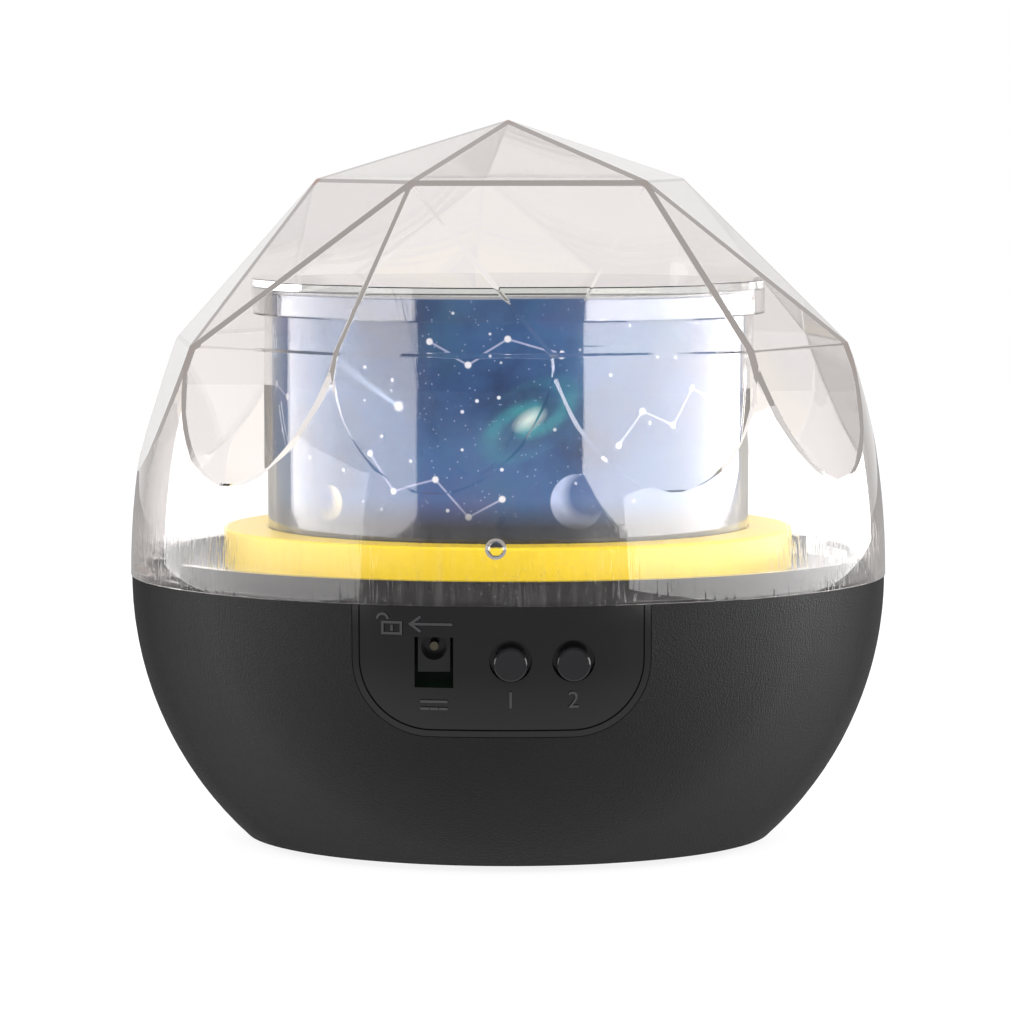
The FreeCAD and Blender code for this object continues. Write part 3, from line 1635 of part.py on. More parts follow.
def write_parts():
    os.makedirs("parts", exist_ok=True)
    for name, thing in NODES.items():
        thing.Shape.exportStep(f"parts/{name}.step")
        box = thing.Shape.BoundBox
        print(f"{name}: {len(thing.Shape.Solids)} solids, {thing.Shape.Volume:.1f} mm3, "
              f"z {box.ZMin:.2f} to {box.ZMax:.2f}")


build()
check_document()
write_parts()
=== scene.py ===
"""Planetarium projector: a star lamp with a faceted clear dome on a black bowl base.

Metres, +Z up, the origin under the middle of the bowl, the control panel towards -Y.
Azimuths are degrees round Z, 0 at the panel and 90 at +X.
"""
import json
import math

import bmesh
import bpy
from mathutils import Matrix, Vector


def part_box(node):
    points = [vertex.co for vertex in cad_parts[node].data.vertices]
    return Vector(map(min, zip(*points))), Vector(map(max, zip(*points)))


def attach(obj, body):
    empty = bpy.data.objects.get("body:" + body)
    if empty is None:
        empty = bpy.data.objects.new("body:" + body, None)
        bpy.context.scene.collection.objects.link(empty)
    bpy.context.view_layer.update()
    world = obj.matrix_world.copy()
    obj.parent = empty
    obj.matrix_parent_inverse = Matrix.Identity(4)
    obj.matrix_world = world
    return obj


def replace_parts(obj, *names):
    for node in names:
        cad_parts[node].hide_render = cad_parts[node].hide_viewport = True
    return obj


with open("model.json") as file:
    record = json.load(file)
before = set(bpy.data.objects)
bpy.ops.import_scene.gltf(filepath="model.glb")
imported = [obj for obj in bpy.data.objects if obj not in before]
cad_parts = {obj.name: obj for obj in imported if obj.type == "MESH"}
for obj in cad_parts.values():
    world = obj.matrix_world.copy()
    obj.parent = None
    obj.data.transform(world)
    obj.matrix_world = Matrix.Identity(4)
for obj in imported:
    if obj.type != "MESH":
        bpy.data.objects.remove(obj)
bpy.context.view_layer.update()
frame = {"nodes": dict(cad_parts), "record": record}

MM = 0.001
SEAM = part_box("diamond_dome")[0][2]
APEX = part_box("diamond_dome")[1][2] - SEAM

# Round sizes that the frame gives
DOME_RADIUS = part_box("diamond_dome")[1][0]
BOWL_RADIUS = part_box("base_bowl")[1][0]
DRUM_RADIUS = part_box("film_drum")[1][0]
DRUM_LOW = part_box("film_drum")[0][2]
DRUM_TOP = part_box("film_drum")[1][2]
CAP_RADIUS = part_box("drum_cap")[1][0]
CAP_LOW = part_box("drum_cap")[0][2]
CAP_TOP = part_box("drum_cap")[1][2]
FILM_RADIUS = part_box("projection_film")[1][0]
FILM_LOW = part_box("projection_film")[0][2] - SEAM

# Bowl's side, an arc in section, which the control panel's face follows
BOWL_ARC = 60.99 * MM

# Faceted dome
DOME_WALL = 1.8 * MM
DOME_ARC = 137.7 * MM
GIRDLE_HEIGHT = 40.2 * MM
GIRDLE_RADIUS = DOME_RADIUS - 6.2 * MM
CROWN_HEIGHT = GIRDLE_HEIGHT + 27.7 * MM
CROWN_RADIUS = GIRDLE_RADIUS - 25.1 * MM
SHIELD_FOOT_HEIGHT = GIRDLE_HEIGHT - 21.2 * MM
SHIELD_FOOT_RADIUS = DOME_RADIUS - 1.5 * MM
CROWN_SIDES = 5
GIRDLE_SIDES = 10
CROWN_AZIMUTH = -28.9
RIDGE_ROUND = 0.15 * MM
RIDGE_STEPS = 3
RIM_ROUND = 0.2 * MM
RIM_STEPS = 2
FACET_AREA = 60 * MM * MM
ROUND_STEPS = 180
ARC_RINGS = 22
BUMP_BALL = 2.2 * MM
BUMP_STEPS = 48
BUMP_WALL = 0.9 * MM
BUMP_PROUD = 0.8 * MM
BUMP_HEIGHT = 9.2 * MM
BUMP_AZIMUTH = -1.8
LUG_AZIMUTHS = [-66.0, 114.0]
LUG_ANGLE = 9.0
LUG_STEPS = 8
LUG_REACH = 2.3 * MM
LUG_LOW = 1.0 * MM
LUG_THICK = 1.5 * MM
OVERRUN = 1.0 * MM

# Scratches on the clear walls, drawn out upwards, and the haze of dust at the dome's foot
SCRATCH_DRAW = 0.06
SCRATCH_SCALE = 2400.0
SCRATCH_EDGES = (0.56, 0.70)
SCRATCH_HEIGHT = 13.0 * MM
SCRATCH_STRENGTH = 0.35
SCRATCH_DEPTH = 0.06 * MM
HAZE_SCALE = 700.0
HAZE_EDGES = (0.5, 0.75)
HAZE_HEIGHT = 17.0 * MM
HAZE_SHARE = 0.06
HAZE_COLOUR = (0.40, 0.395, 0.39, 1)
SPECK_SCALE = 900.0
SPECK_EDGES = (0.06, 0.12)
SPECK_SHARE = 0.45

# Drum, its cap and the small rounding of moulded edges
DRUM_WALL = 1.2 * MM
DRUM_LEDGE = 1.4 * MM
CAP_GAP = 0.15 * MM
CAP_PLATE = 1.5 * MM
CAP_POLE = 6.0 * MM
MOULD_ROUND = 0.18 * MM
MOULD_STEPS = 2
CORNER_ANGLE = math.radians(40)
SMOOTH_ANGLE = math.radians(11)
WELD = 0.001 * MM

# Marks on the control panel, across and above the seam
MARK_PROUD = 0.24 * MM
MARK_SINK = 0.1 * MM
MARK_LINE = 0.4 * MM
MARK_EDGE = 0.09 * MM
NUMERAL_SIZE = 3.9 * MM
NUMERALS = {"1": (0.35, -15.4), "2": (10.5, -15.4)}
LOCK_BODY = [((-20.3, -2.7), (-17.3, -2.7)), ((-20.3, -4.5), (-17.3, -4.5)),
             ((-20.3, -2.7), (-20.3, -4.5)), ((-17.3, -2.7), (-17.3, -4.5)), ((-18.8, -3.3), (-18.8, -3.9))]
LOCK_SHACKLE = (-20.3, -2.2)
LOCK_SHACKLE_RADIUS = 0.85
SHACKLE_STEPS = 32
ARROW = ((-15.8, -2.9), (-9.2, -2.9))
ARROW_HEAD = [((-15.8, -2.9), (-14.3, -1.8)), ((-15.8, -2.9), (-14.3, -4.0))]
CURRENT_BARS = [((-14.0, -15.6), (-10.0, -15.6)), ((-14.0, -16.8), (-13.0, -16.8)),
                ((-12.5, -16.8), (-11.5, -16.8)), ((-11.0, -16.8), (-10.0, -16.8))]

# Print on the film: millimetres round it and above the seam, in a repeat
FILM_THICK = 0.25 * MM
# Painted light: the film's inner face is this flat pale colour, standing in for light shining through from
# behind
FILM_INNER_PAINTED_LIGHT = (0.42, 0.46, 0.56, 1)
FILM_FOOT = (FILM_LOW / MM + 3.5, FILM_LOW / MM + 8.0)
FILM_REPEATS = 3
PRINT_LINE = 0.22
MOON = ((11.5, 15.0), 4.6)
MOON_SHADOW = ((13.6, 16.2), 4.2)
SMALL_MOON = ((-33.0, 14.0), 3.0)
SMALL_MOON_SHADOW = ((-34.5, 14.8), 2.7)
GALAXY = (3.5, 28.5)
GALAXY_REACH = (11.5, 6.0)
GALAXY_TILT = 32.0
COMET = ((-18.5, 30.5), (-33.0, 39.0))
COMET_WIDTH = 1.5
STAR_CHAINS = [
    [(-24.0, 22.5), (-19.5, 16.5), (-12.0, 18.5), (-6.5, 12.5), (-1.0, 15.5)],
    [(18.5, 24.0), (23.0, 29.5), (29.5, 27.0), (34.0, 33.0), (39.0, 31.0)],
    [(-13.0, 41.0), (-6.5, 37.5), (0.0, 41.5), (8.5, 39.0)],
]
STAR_DOT = 0.55
DISC_BLUR = 0.12

# Patterns and colours of the film's print
NIGHT_SCALE = 34.0
NIGHT_STOPS = [
    (0.30, (0.003, 0.014, 0.060)),
    (0.42, (0.014, 0.062, 0.190)),
    (0.56, (0.032, 0.125, 0.320)),
    (0.66, (0.060, 0.105, 0.300)),
    (0.80, (0.160, 0.150, 0.380)),
]
DRIFT_SCALE = 75.0
DRIFT_EDGES = (0.52, 0.72)
DRIFT_SHARE = 0.35
DRIFT_COLOUR = (0.03, 0.17, 0.26, 1)
FINE_STARS = (900.0, (0.09, 0.14), 0.55, (0.55, 0.65, 0.9, 1))
BRIGHT_STARS = (260.0, (0.06, 0.10), 1.0, (0.85, 0.9, 1.0, 1))
GALAXY_ARMS = 2.0
GALAXY_WIND = 9.0
GALAXY_ARM_EDGES = (-0.7, 1.0)
GALAXY_MOTTLE_SCALE = 420.0
GALAXY_MOTTLE = (0.35, 0.65, 0.55, 1.0)
GALAXY_FADE = (0.15, 1.0)
GALAXY_GLOW_SHARE = 0.4
GALAXY_GLOW = (0.02, 0.16, 0.24, 1)
GALAXY_ARM_SHARE = 0.9
GALAXY_ARM = (0.05, 0.46, 0.50, 1)
GALAXY_HEART_EDGES = (0.04, 0.3)
GALAXY_HEART_SHARE = 0.9
GALAXY_HEART = (0.75, 0.9, 0.85, 1)
CRATER_SCALE = 500.0
CRATERS = (0.3, 0.7, 0.75, 1.0)
MOON_DARK_SHARE = 0.25
MOON_DARK = (0.10, 0.16, 0.42, 1)
MOON_COLOUR = (0.55, 0.66, 0.95, 1)
SMALL_MOON_COLOUR = (0.9, 0.84, 0.62, 1)
MOON_BLUR = 0.9
COMET_TAIL = (0.55, 0.72, 0.95, 1)
COMET_HEAD = (0.95, 0.98, 1.0, 1)
COMET_HEAD_RADIUS = 0.75
COMET_HEAD_BLUR = 0.35
COMET_NECK_SHARE = 0.3
COMET_TAIL_SHARE = 0.85
LINE_SHARE = 0.6
LINE_COLOUR = (0.62, 0.66, 0.92, 1)
DOT_COLOUR = (0.92, 0.94, 1.0, 1)
FOOT_SHARE = 0.92
FOOT_COLOUR = (0.006, 0.006, 0.008, 1)
FILM_SHEEN = 0.28

# Case: its grain, its two tones, and a sheen that dulls where the surface turns away
GRAIN_SCALE = 3200.0
GRAIN_DEPTH = 0.2 * MM
CASE_TONES = [(0.3, (0.004, 0.004, 0.0045)), (0.7, (0.006, 0.006, 0.0065))]
CASE_TONE_SCALE = 60.0
CASE_SLANT = (0.4, 0.75)
CASE_ROUGHNESS = (0.45, 0.9)
CASE_UNEVEN = 0.05
CASE_SPECULAR = 0.26

# Smooth plastics and metals: how far tone and sheen vary
CLOUD_SCALE = 90.0
CLOUD_EDGES = (0.35, 0.65)
CLOUD_DARK = 0.94
SHEEN_EDGES = (0.3, 0.7)
PLASTIC_UNEVEN = (-0.03, 0.04)
PLASTIC_GRAIN_SCALE = 2500.0
PLASTIC_GRAIN_STRENGTH = 0.2
PLASTIC_GRAIN_DEPTH = 0.02 * MM
METAL_MARK_SCALE = 1800.0
METAL_DARK = 0.85
METAL_UNEVEN = (-0.06, 0.08)

# Clear plastics: name, tint, its density, roughness and index
DOME_CLEAR = ("dome_plastic", (0.88, 0.40, 0.24), 25.0, 0.0, 1.44)
# Painted glow: the fixed grey the dome's wall shows where a ray has turned back inside it
DOME_WALL_PAINTED_GLOW = (0.40, 0.39, 0.38)
DRUM_CLEAR = ("drum_plastic", (0.75, 0.80, 0.80), 14.0, 0.0, 1.5)

# Smooth plastics and metals by the record's material slot: name, colour and roughness
PLASTICS = {
    "black_gloss": ("gloss_black", (0.004, 0.004, 0.0045), 0.2),
    "black_deck": ("deck_black", (0.008, 0.008, 0.009), 0.12),
    "yellow": ("yellow_plastic", (0.96, 0.70, 0.025), 0.35),
    "rubber": ("foot_rubber", (0.03, 0.03, 0.03), 0.8),
    "circuit_board": ("board_green", (0.004, 0.012, 0.007), 0.45),
    "led": ("lamp_white", (0.85, 0.8, 0.5), 0.2),
    "white_plastic": ("white_nylon", (0.75, 0.75, 0.72), 0.45),
    "cell_wrap": ("cell_wrap", (0.03, 0.09, 0.3), 0.3),
    "lead_sleeve": ("lead_sleeve", (0.35, 0.02, 0.02), 0.4),
}
METALS = {
    "steel": ("zinc_steel", (0.62, 0.62, 0.63), 0.3),
    # Brass darker than the metal itself: partly a dull nickel plating, partly painted shade for the pin deep
    # in the jack's barrel
    "brass": ("plated_brass", (0.24, 0.21, 0.16), 0.34),
}
# Marks a shade lighter than the panel's gloss black: a painted highlight where their edges catch the light
MARK_BLACK_PAINTED_HIGHLIGHT = ("mark_black", (0.035, 0.035, 0.037), 0.2)

# Camera, lamps and floor; each side lamp has an azimuth, a width and a power
CAMERA_PLACE = (-0.55 * MM, -860.4 * MM, SEAM + 75.65 * MM)
CAMERA_PITCH = 4.26
CAMERA_LENS = 177.6
LAMP_REACH = 0.55
LAMPS = {"left": (-83.0, 0.95, 2.2), "right": (88.0, 1.5, 5.5)}
LAMP_TALL = 0.2
LAMP_HEIGHT = 0.105
FILL_SIZE = (0.95, 0.7)
FILL_HEIGHT = 0.3
FILL_POWER = 1.0
TOP_LAMP_HEIGHT = 1.3
TOP_LAMP_BACK = 0.1
TOP_LAMP_SIZE = (1.5, 1.1)
TOP_LAMP_POWER = 5.0
FRONT_LAMP_REACH = 1.2
FRONT_LAMP_SIZE = (1.0, 0.8)
FRONT_LAMP_HEIGHT = 0.5
FRONT_LAMP_POWER = 12.0
SKY_LIGHT = 1.0
SKY_DARK = 0.12
SKY_WHITE = 1.0
SKY_EDGE = (0.5, 0.95)
FLOOR_RADIUS = 1.6
FLOOR_STEPS = 96
FLOOR_GREY = (0.2, 0.2, 0.2, 1)
FLOOR_ROUGHNESS = 0.9
FLOOR_GLOW = 0.86
FLOOR_GLOSS = 1.0
FLOOR_GLOSS_FRONT = 0.1
FLOOR_GLOSS_FAR = 0.15
FLOOR_FRONT = -0.13
FLOOR_NEAR = 0.11
FLOOR_FAR = 0.24
FLOOR_BOUNCE = 0.6


def select_only(*things):
    bpy.ops.object.select_all(action="DESELECT")
    for thing in things:
        thing.select_set(True)
    bpy.context.view_layer.objects.active = things[0]


def outward(azimuth):
    angle = math.radians(azimuth)
    return Vector((math.sin(angle), -math.cos(angle), 0))


def new_piece(name):
    """The primitive that was just added, under its own name."""
    thing = bpy.context.object
    thing.name = name
    thing.data.name = name
    return thing


def open_edit(thing):
    select_only(thing)
    bpy.ops.object.mode_set(mode="EDIT")
    bpy.ops.mesh.select_all(action="SELECT")


def close_edit(thing):
    """Back to object mode, with the piece's place in its mesh."""
    bpy.ops.object.mode_set(mode="OBJECT")
    select_only(thing)
    bpy.ops.object.transform_apply(location=True, rotation=True, scale=True)
    return thing


def select_edges(thing, wanted):
    bpy.ops.mesh.select_mode(type="EDGE")
    bpy.ops.mesh.select_all(action="DESELECT")
    mesh = bmesh.from_edit_mesh(thing.data)
    for edge in mesh.edges:
        edge.select = wanted(edge)
    bmesh.update_edit_mesh(thing.data)


def apply_modifier(thing, kind, **settings):
    select_only(thing)
    modifier = thing.modifiers.new(kind.lower(), kind)
    for setting, value in settings.items():
        setattr(modifier, setting, value)
    bpy.ops.object.modifier_apply(modifier=modifier.name)
    return thing


def combine(thing, tool, operation):
    """Boolean with another solid, which is used up."""
    apply_modifier(thing, "BOOLEAN", object=tool, operation=operation, solver="EXACT")
    bpy.data.objects.remove(tool)
    return thing


def soften(thing):
    """Small rounding on the sharp corners of a moulded piece, then smooth shading on its curves."""
    apply_modifier(thing, "BEVEL", width=MOULD_ROUND, segments=MOULD_STEPS, limit_method="ANGLE",
                   angle_limit=CORNER_ANGLE)
    return smooth(thing)


def smooth(thing):
    select_only(thing)
    bpy.ops.object.shade_smooth_by_angle(angle=SMOOTH_ANGLE)
    apply_modifier(thing, "WEIGHTED_NORMAL", mode="FACE_AREA", weight=100, keep_sharp=True)
    return thing


def turned(name, outline, closed):
    """Round form raised ring by ring from a circle, along an outline of (radius, level) corners.

    A closed outline comes back to its start. An open one gets a face at its start and its end.
    """
    bpy.ops.object.select_all(action="DESELECT")
    radius, level = outline[0]
    bpy.ops.mesh.primitive_circle_add(vertices=ROUND_STEPS, radius=radius, location=(0, 0, level))
    thing = new_piece(name)
    bpy.ops.object.transform_apply(location=True, rotation=True, scale=True)
    open_edit(thing)
    if not closed:
        bpy.ops.mesh.edge_face_add()
    for following, high in outline[1:] + (outline[:1] if closed else []):
        bpy.ops.mesh.extrude_region_move(TRANSFORM_OT_translate={"value": (0, 0, high - level)})
        share = following / radius
        bpy.ops.transform.resize(value=(share, share, 1), center_override=(0, 0, high))
        radius, level = following, high
    bpy.ops.mesh.select_all(action="SELECT")
    bpy.ops.mesh.remove_doubles(threshold=WELD)
    bpy.ops.mesh.normals_make_consistent(inside=False)
    return close_edit(thing)


# Dome


def plane_through(first, second, third):
    """A corner of the plane and its outward normal."""
    normal = (second - first).cross(third - first).normalized()
    if normal.dot(first - Vector((0, 0, SEAM))) < 0:
        normal = -normal
    return first, normal


def facet_corner(radius, height, azimuth):
    return outward(azimuth) * radius + Vector((0, 0, SEAM + height))


def facet_planes():
    """Flat faces of the dome: at the apex, below the crown, beside it, and the shields."""
    planes = []
    apex = Vector((0, 0, SEAM + APEX))
    crown_step = 360 / CROWN_SIDES
    for side in range(CROWN_SIDES):
        azimuth = CROWN_AZIMUTH + crown_step * side
        near = facet_corner(CROWN_RADIUS, CROWN_HEIGHT, azimuth)
        far = facet_corner(CROWN_RADIUS, CROWN_HEIGHT, azimuth + crown_step)
        low_near = facet_corner(GIRDLE_RADIUS, GIRDLE_HEIGHT, azimuth)
        low_middle = facet_corner(GIRDLE_RADIUS, GIRDLE_HEIGHT, azimuth + crown_step / 2)
        low_far = facet_corner(GIRDLE_RADIUS, GIRDLE_HEIGHT, azimuth + crown_step)
        planes.append(plane_through(apex, near, far))
        planes.append(plane_through(near, far, low_middle))
        planes.append(plane_through(near, low_near, low_middle))
        planes.append(plane_through(far, low_far, low_middle))
    girdle_step = 360 / GIRDLE_SIDES
    for side in range(GIRDLE_SIDES):
        azimuth = CROWN_AZIMUTH + girdle_step * side
        near = facet_corner(GIRDLE_RADIUS, GIRDLE_HEIGHT, azimuth)
        far = facet_corner(GIRDLE_RADIUS, GIRDLE_HEIGHT, azimuth + girdle_step)
        foot = facet_corner(SHIELD_FOOT_RADIUS, SHIELD_FOOT_HEIGHT, azimuth + girdle_step / 2)
        planes.append(plane_through(near, far, foot))
    return planes


def dome_reach(height, depth=0.0):
    return DOME_RADIUS - DOME_ARC + math.sqrt((DOME_ARC - depth) ** 2 - height ** 2)


def dome_solid(name, depth, low):
    """The dome as a filled form, its faces that far inside the outer ones."""
    top = APEX + OVERRUN
    outline = [(DOME_RADIUS - depth, low)]
    if low < SEAM:
        outline.append((DOME_RADIUS - depth, SEAM))
    for ring in range(1, ARC_RINGS + 1):
        height = top * ring / ARC_RINGS
        outline.append((dome_reach(height, depth), SEAM + height))
    thing = turned(name, outline, closed=False)
    open_edit(thing)
    for corner, normal in facet_planes():
        bpy.ops.mesh.select_all(action="SELECT")
        bpy.ops.mesh.bisect(plane_co=corner - normal * depth, plane_no=normal, use_fill=True,
                            clear_outer=True)
    return close_edit(thing)


def is_ridge(edge):
    """Between two flat faces of the dome, above the feet of the shields."""
    flat = all(face.calc_area() > FACET_AREA for face in edge.link_faces)
    return flat and edge.verts[0].co.z > SEAM + SHIELD_FOOT_HEIGHT


def is_rim(edge):
    return all(abs(corner.co.z - SEAM) < WELD for corner in edge.verts)


def round_edges(thing, wanted, width, segments):
    open_edit(thing)
    select_edges(thing, wanted)
    bpy.ops.mesh.bevel(offset=width, segments=segments, affect="EDGES")
    return close_edit(thing)


def dome_lug(count, azimuth):
    """A lug inside the rim: an upright oblong spun part of the way round."""
    inner = DOME_RADIUS - DOME_WALL - LUG_REACH
    outer = DOME_RADIUS - DOME_WALL / 2
    start = azimuth - LUG_ANGLE / 2
    middle = outward(start) * (inner + outer) / 2 + Vector((0, 0, SEAM + LUG_LOW + LUG_THICK / 2))
    bpy.ops.object.select_all(action="DESELECT")
    bpy.ops.mesh.primitive_plane_add(size=1, location=middle,
                                     rotation=(math.radians(90), 0, math.radians(start - 90)))
    thing = new_piece(f"dome_lug_{count}")
    thing.scale = (outer - inner, LUG_THICK, 1)
    bpy.ops.object.transform_apply(location=True, rotation=True, scale=True)
    open_edit(thing)
    bpy.ops.mesh.spin(steps=LUG_STEPS, angle=math.radians(LUG_ANGLE), center=(0, 0, 0), axis=(0, 0, 1))
    bpy.ops.mesh.select_all(action="SELECT")
    bpy.ops.mesh.normals_make_consistent(inside=False)
    return close_edit(thing)


def bump_ball(name, radius):
    reach = dome_reach(BUMP_HEIGHT) + BUMP_PROUD - BUMP_BALL
    place = outward(BUMP_AZIMUTH) * reach + Vector((0, 0, SEAM + BUMP_HEIGHT))
    bpy.ops.object.select_all(action="DESELECT")
    bpy.ops.mesh.primitive_uv_sphere_add(segments=BUMP_STEPS, ring_count=BUMP_STEPS // 2, radius=radius,
                                         location=place)
    thing = new_piece(name)
    bpy.ops.object.transform_apply(location=True, rotation=True, scale=True)
    return thing


def clear_dome(finish):
    dome = round_edges(dome_solid("faceted_dome", 0.0, SEAM), is_ridge, RIDGE_ROUND, RIDGE_STEPS)
    round_edges(dome, is_rim, RIM_ROUND, RIM_STEPS)
    combine(dome, bump_ball("dome_bump", BUMP_BALL), "UNION")
    hollow = dome_solid("dome_hollow", DOME_WALL, SEAM - OVERRUN)
    combine(dome, round_edges(hollow, is_ridge, RIDGE_ROUND, RIDGE_STEPS), "DIFFERENCE")
    combine(dome, bump_ball("bump_hollow", BUMP_BALL - BUMP_WALL), "DIFFERENCE")
    for count, azimuth in enumerate(LUG_AZIMUTHS):
        combine(dome, dome_lug(count, azimuth), "UNION")
    dome.data.materials.append(finish)
    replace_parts(smooth(dome), "diamond_dome")
    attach(dome, "dome")


# Film drum and its cap


def clear_drum(finish):
    inner = DRUM_RADIUS - DRUM_WALL
    ledge = inner - DRUM_LEDGE
    drum = turned("clear_drum", [
        (ledge, DRUM_LOW),
        (DRUM_RADIUS, DRUM_LOW),
        (DRUM_RADIUS, DRUM_TOP),
        (inner, DRUM_TOP),
        (inner, DRUM_LOW + DRUM_LEDGE),
        (ledge, DRUM_LOW + DRUM_LEDGE),
    ], closed=True)
    drum.data.materials.append(finish)
    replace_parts(soften(drum), "film_drum")
    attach(drum, "drum")


def clear_cap(finish):
    inner = DRUM_RADIUS + CAP_GAP
    under = CAP_TOP - CAP_PLATE
    cap = turned("clear_cap", [
        (CAP_POLE, under),
        (inner, under),
        (inner, CAP_LOW),
        (CAP_RADIUS, CAP_LOW),
        (CAP_RADIUS, CAP_TOP),
        (CAP_POLE, CAP_TOP),
    ], closed=False)
    cap.data.materials.append(finish)
    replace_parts(soften(cap), "drum_cap")
    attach(cap, "cap")


# Marks on the control panel


def flat_bar(start, end, width):
    """A straight stroke, drawn flat before it is laid on the panel."""
    first = Vector((*start, 0)) * MM
    second = Vector((*end, 0)) * MM
    along = second - first
    bpy.ops.object.select_all(action="DESELECT")
    bpy.ops.mesh.primitive_plane_add(size=1, location=(first + second) / 2,
                                     rotation=(0, 0, math.atan2(along.y, along.x)))
    thing = new_piece("stroke")
    thing.scale = (along.length + width, width, 1)
    bpy.ops.object.transform_apply(location=True, rotation=True, scale=True)
    return thing


def flat_hoop(centre, radius, width):
    """The upper half of a ring, drawn flat."""
    middle = Vector((*centre, 0)) * MM
    bpy.ops.object.select_all(action="DESELECT")
    bpy.ops.mesh.primitive_circle_add(vertices=SHACKLE_STEPS, radius=radius * MM - width / 2,
                                      location=middle)
    thing = new_piece("hoop")
    bpy.ops.object.transform_apply(location=True, rotation=True, scale=True)
    open_edit(thing)
    bpy.ops.mesh.extrude_region_move()
    share = (radius * MM + width / 2) / (radius * MM - width / 2)
    bpy.ops.transform.resize(value=(share, share, 1), center_override=middle)
    bpy.ops.mesh.select_all(action="SELECT")
    bpy.ops.mesh.bisect(plane_co=middle, plane_no=(0, -1, 0), clear_outer=True)
    return close_edit(thing)


def flat_numeral(numeral, centre):
    bpy.ops.object.select_all(action="DESELECT")
    bpy.ops.object.text_add(location=Vector((*centre, 0)) * MM)
    words = bpy.context.object
    words.data.body = numeral
    words.data.size = NUMERAL_SIZE
    words.data.align_x = "CENTER"
    words.data.align_y = "CENTER"
    bpy.ops.object.convert(target="MESH")
    thing = new_piece(f"numeral_{numeral}")
    bpy.ops.object.transform_apply(location=True, rotation=True, scale=True)
    return thing


def panel_face(across, height):
    """How far out the panel's face is at that place."""
    reach = BOWL_RADIUS - BOWL_ARC + math.sqrt(BOWL_ARC ** 2 - height ** 2)
    return -math.sqrt(reach ** 2 - across ** 2)


def panel_marks(finish):
    """Raised marks: an open lock with an arrow, the sign for direct current, and the numerals."""
    strokes = [flat_bar(*ends, MARK_LINE) for ends in [ARROW] + ARROW_HEAD + LOCK_BODY + CURRENT_BARS]
    strokes.append(flat_hoop(LOCK_SHACKLE, LOCK_SHACKLE_RADIUS, MARK_LINE))
    strokes += [flat_numeral(*mark) for mark in NUMERALS.items()]
    select_only(*strokes)
    bpy.ops.object.join()
    marks = new_piece("panel_marks")
    open_edit(marks)
    bpy.ops.mesh.remove_doubles(threshold=WELD)
    bpy.ops.mesh.subdivide(number_cuts=2)
    bpy.ops.mesh.normals_make_consistent(inside=False)
    close_edit(marks)
    apply_modifier(marks, "SOLIDIFY", thickness=MARK_PROUD + MARK_SINK, offset=0)
    apply_modifier(marks, "BEVEL", width=MARK_EDGE, segments=1, limit_method="ANGLE",
                   angle_limit=CORNER_ANGLE)
    lift = (MARK_PROUD - MARK_SINK) / 2
    for corner in marks.data.vertices:
        across, height, proud = corner.co
        corner.co = (across, panel_face(across, height) - proud - lift, SEAM + height)
    open_edit(marks)
    bpy.ops.mesh.normals_make_consistent(inside=False)
    close_edit(marks)
    marks.data.materials.clear()
    marks.data.materials.append(finish)
    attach(marks, "base")


# Finishes


class Nodes:
    """A node tree and short calls that add to it."""

    def __init__(self, tree):
        self.tree = tree
        self.tree.nodes.clear()

    def add(self, kind, **settings):
        node = self.tree.nodes.new(kind)
        for setting, value in settings.items():
            setattr(node, setting, value)
        return node

    def join(self, source, target):
        self.tree.links.new(source, target)

    def feed(self, socket, value):
        if isinstance(value, bpy.types.NodeSocket):
            self.join(value, socket)
        else:
            socket.default_value = value

    def math(self, operation, *values, clamp=False):
        node = self.add("ShaderNodeMath", operation=operation, use_clamp=clamp)
        for socket, value in zip(node.inputs, values):
            self.feed(socket, value)
        return node.outputs[0]

    def place(self):
        return self.add("ShaderNodeTexCoord").outputs["Object"]

    def noise(self, scale, detail=3.0, roughness=0.5, place=None):
        node = self.add("ShaderNodeTexNoise")
        self.join(place or self.place(), node.inputs["Vector"])
        node.inputs["Scale"].default_value = scale
        node.inputs["Detail"].default_value = detail
        node.inputs["Roughness"].default_value = roughness
        return node.outputs["Fac"]

    def cells(self, scale):
        """How far from the nearest of many scattered points."""
        node = self.add("ShaderNodeTexVoronoi", feature="F1")
        self.join(self.place(), node.inputs["Vector"])
        node.inputs["Scale"].default_value = scale
        return node.outputs["Distance"]

    def spread(self, value, low, high, to_low=0.0, to_high=1.0):
        node = self.add("ShaderNodeMapRange", clamp=True)
        self.feed(node.inputs["Value"], value)
        for name, number in (("From Min", low), ("From Max", high), ("To Min", to_low),
                             ("To Max", to_high)):
            node.inputs[name].default_value = number
        return node.outputs["Result"]

    def blend(self, share, first, second):
        node = self.add("ShaderNodeMix", data_type="RGBA")
        self.feed(node.inputs["Factor"], share)
        colour_sockets = [socket for socket in node.inputs if socket.type == "RGBA"]
        self.feed(colour_sockets[0], first)
        self.feed(colour_sockets[1], second)
        return next(socket for socket in node.outputs if socket.type == "RGBA")

    def ramp(self, value, stops):
        node = self.add("ShaderNodeValToRGB")
        self.join(value, node.inputs["Fac"])
        stop_list = node.color_ramp.elements
        for index, (place, colour) in enumerate(stops):
            stop = stop_list[index] if index < 2 else stop_list.new(place)
            stop.position = place
            stop.color = (*colour, 1)
        return node.outputs["Color"]


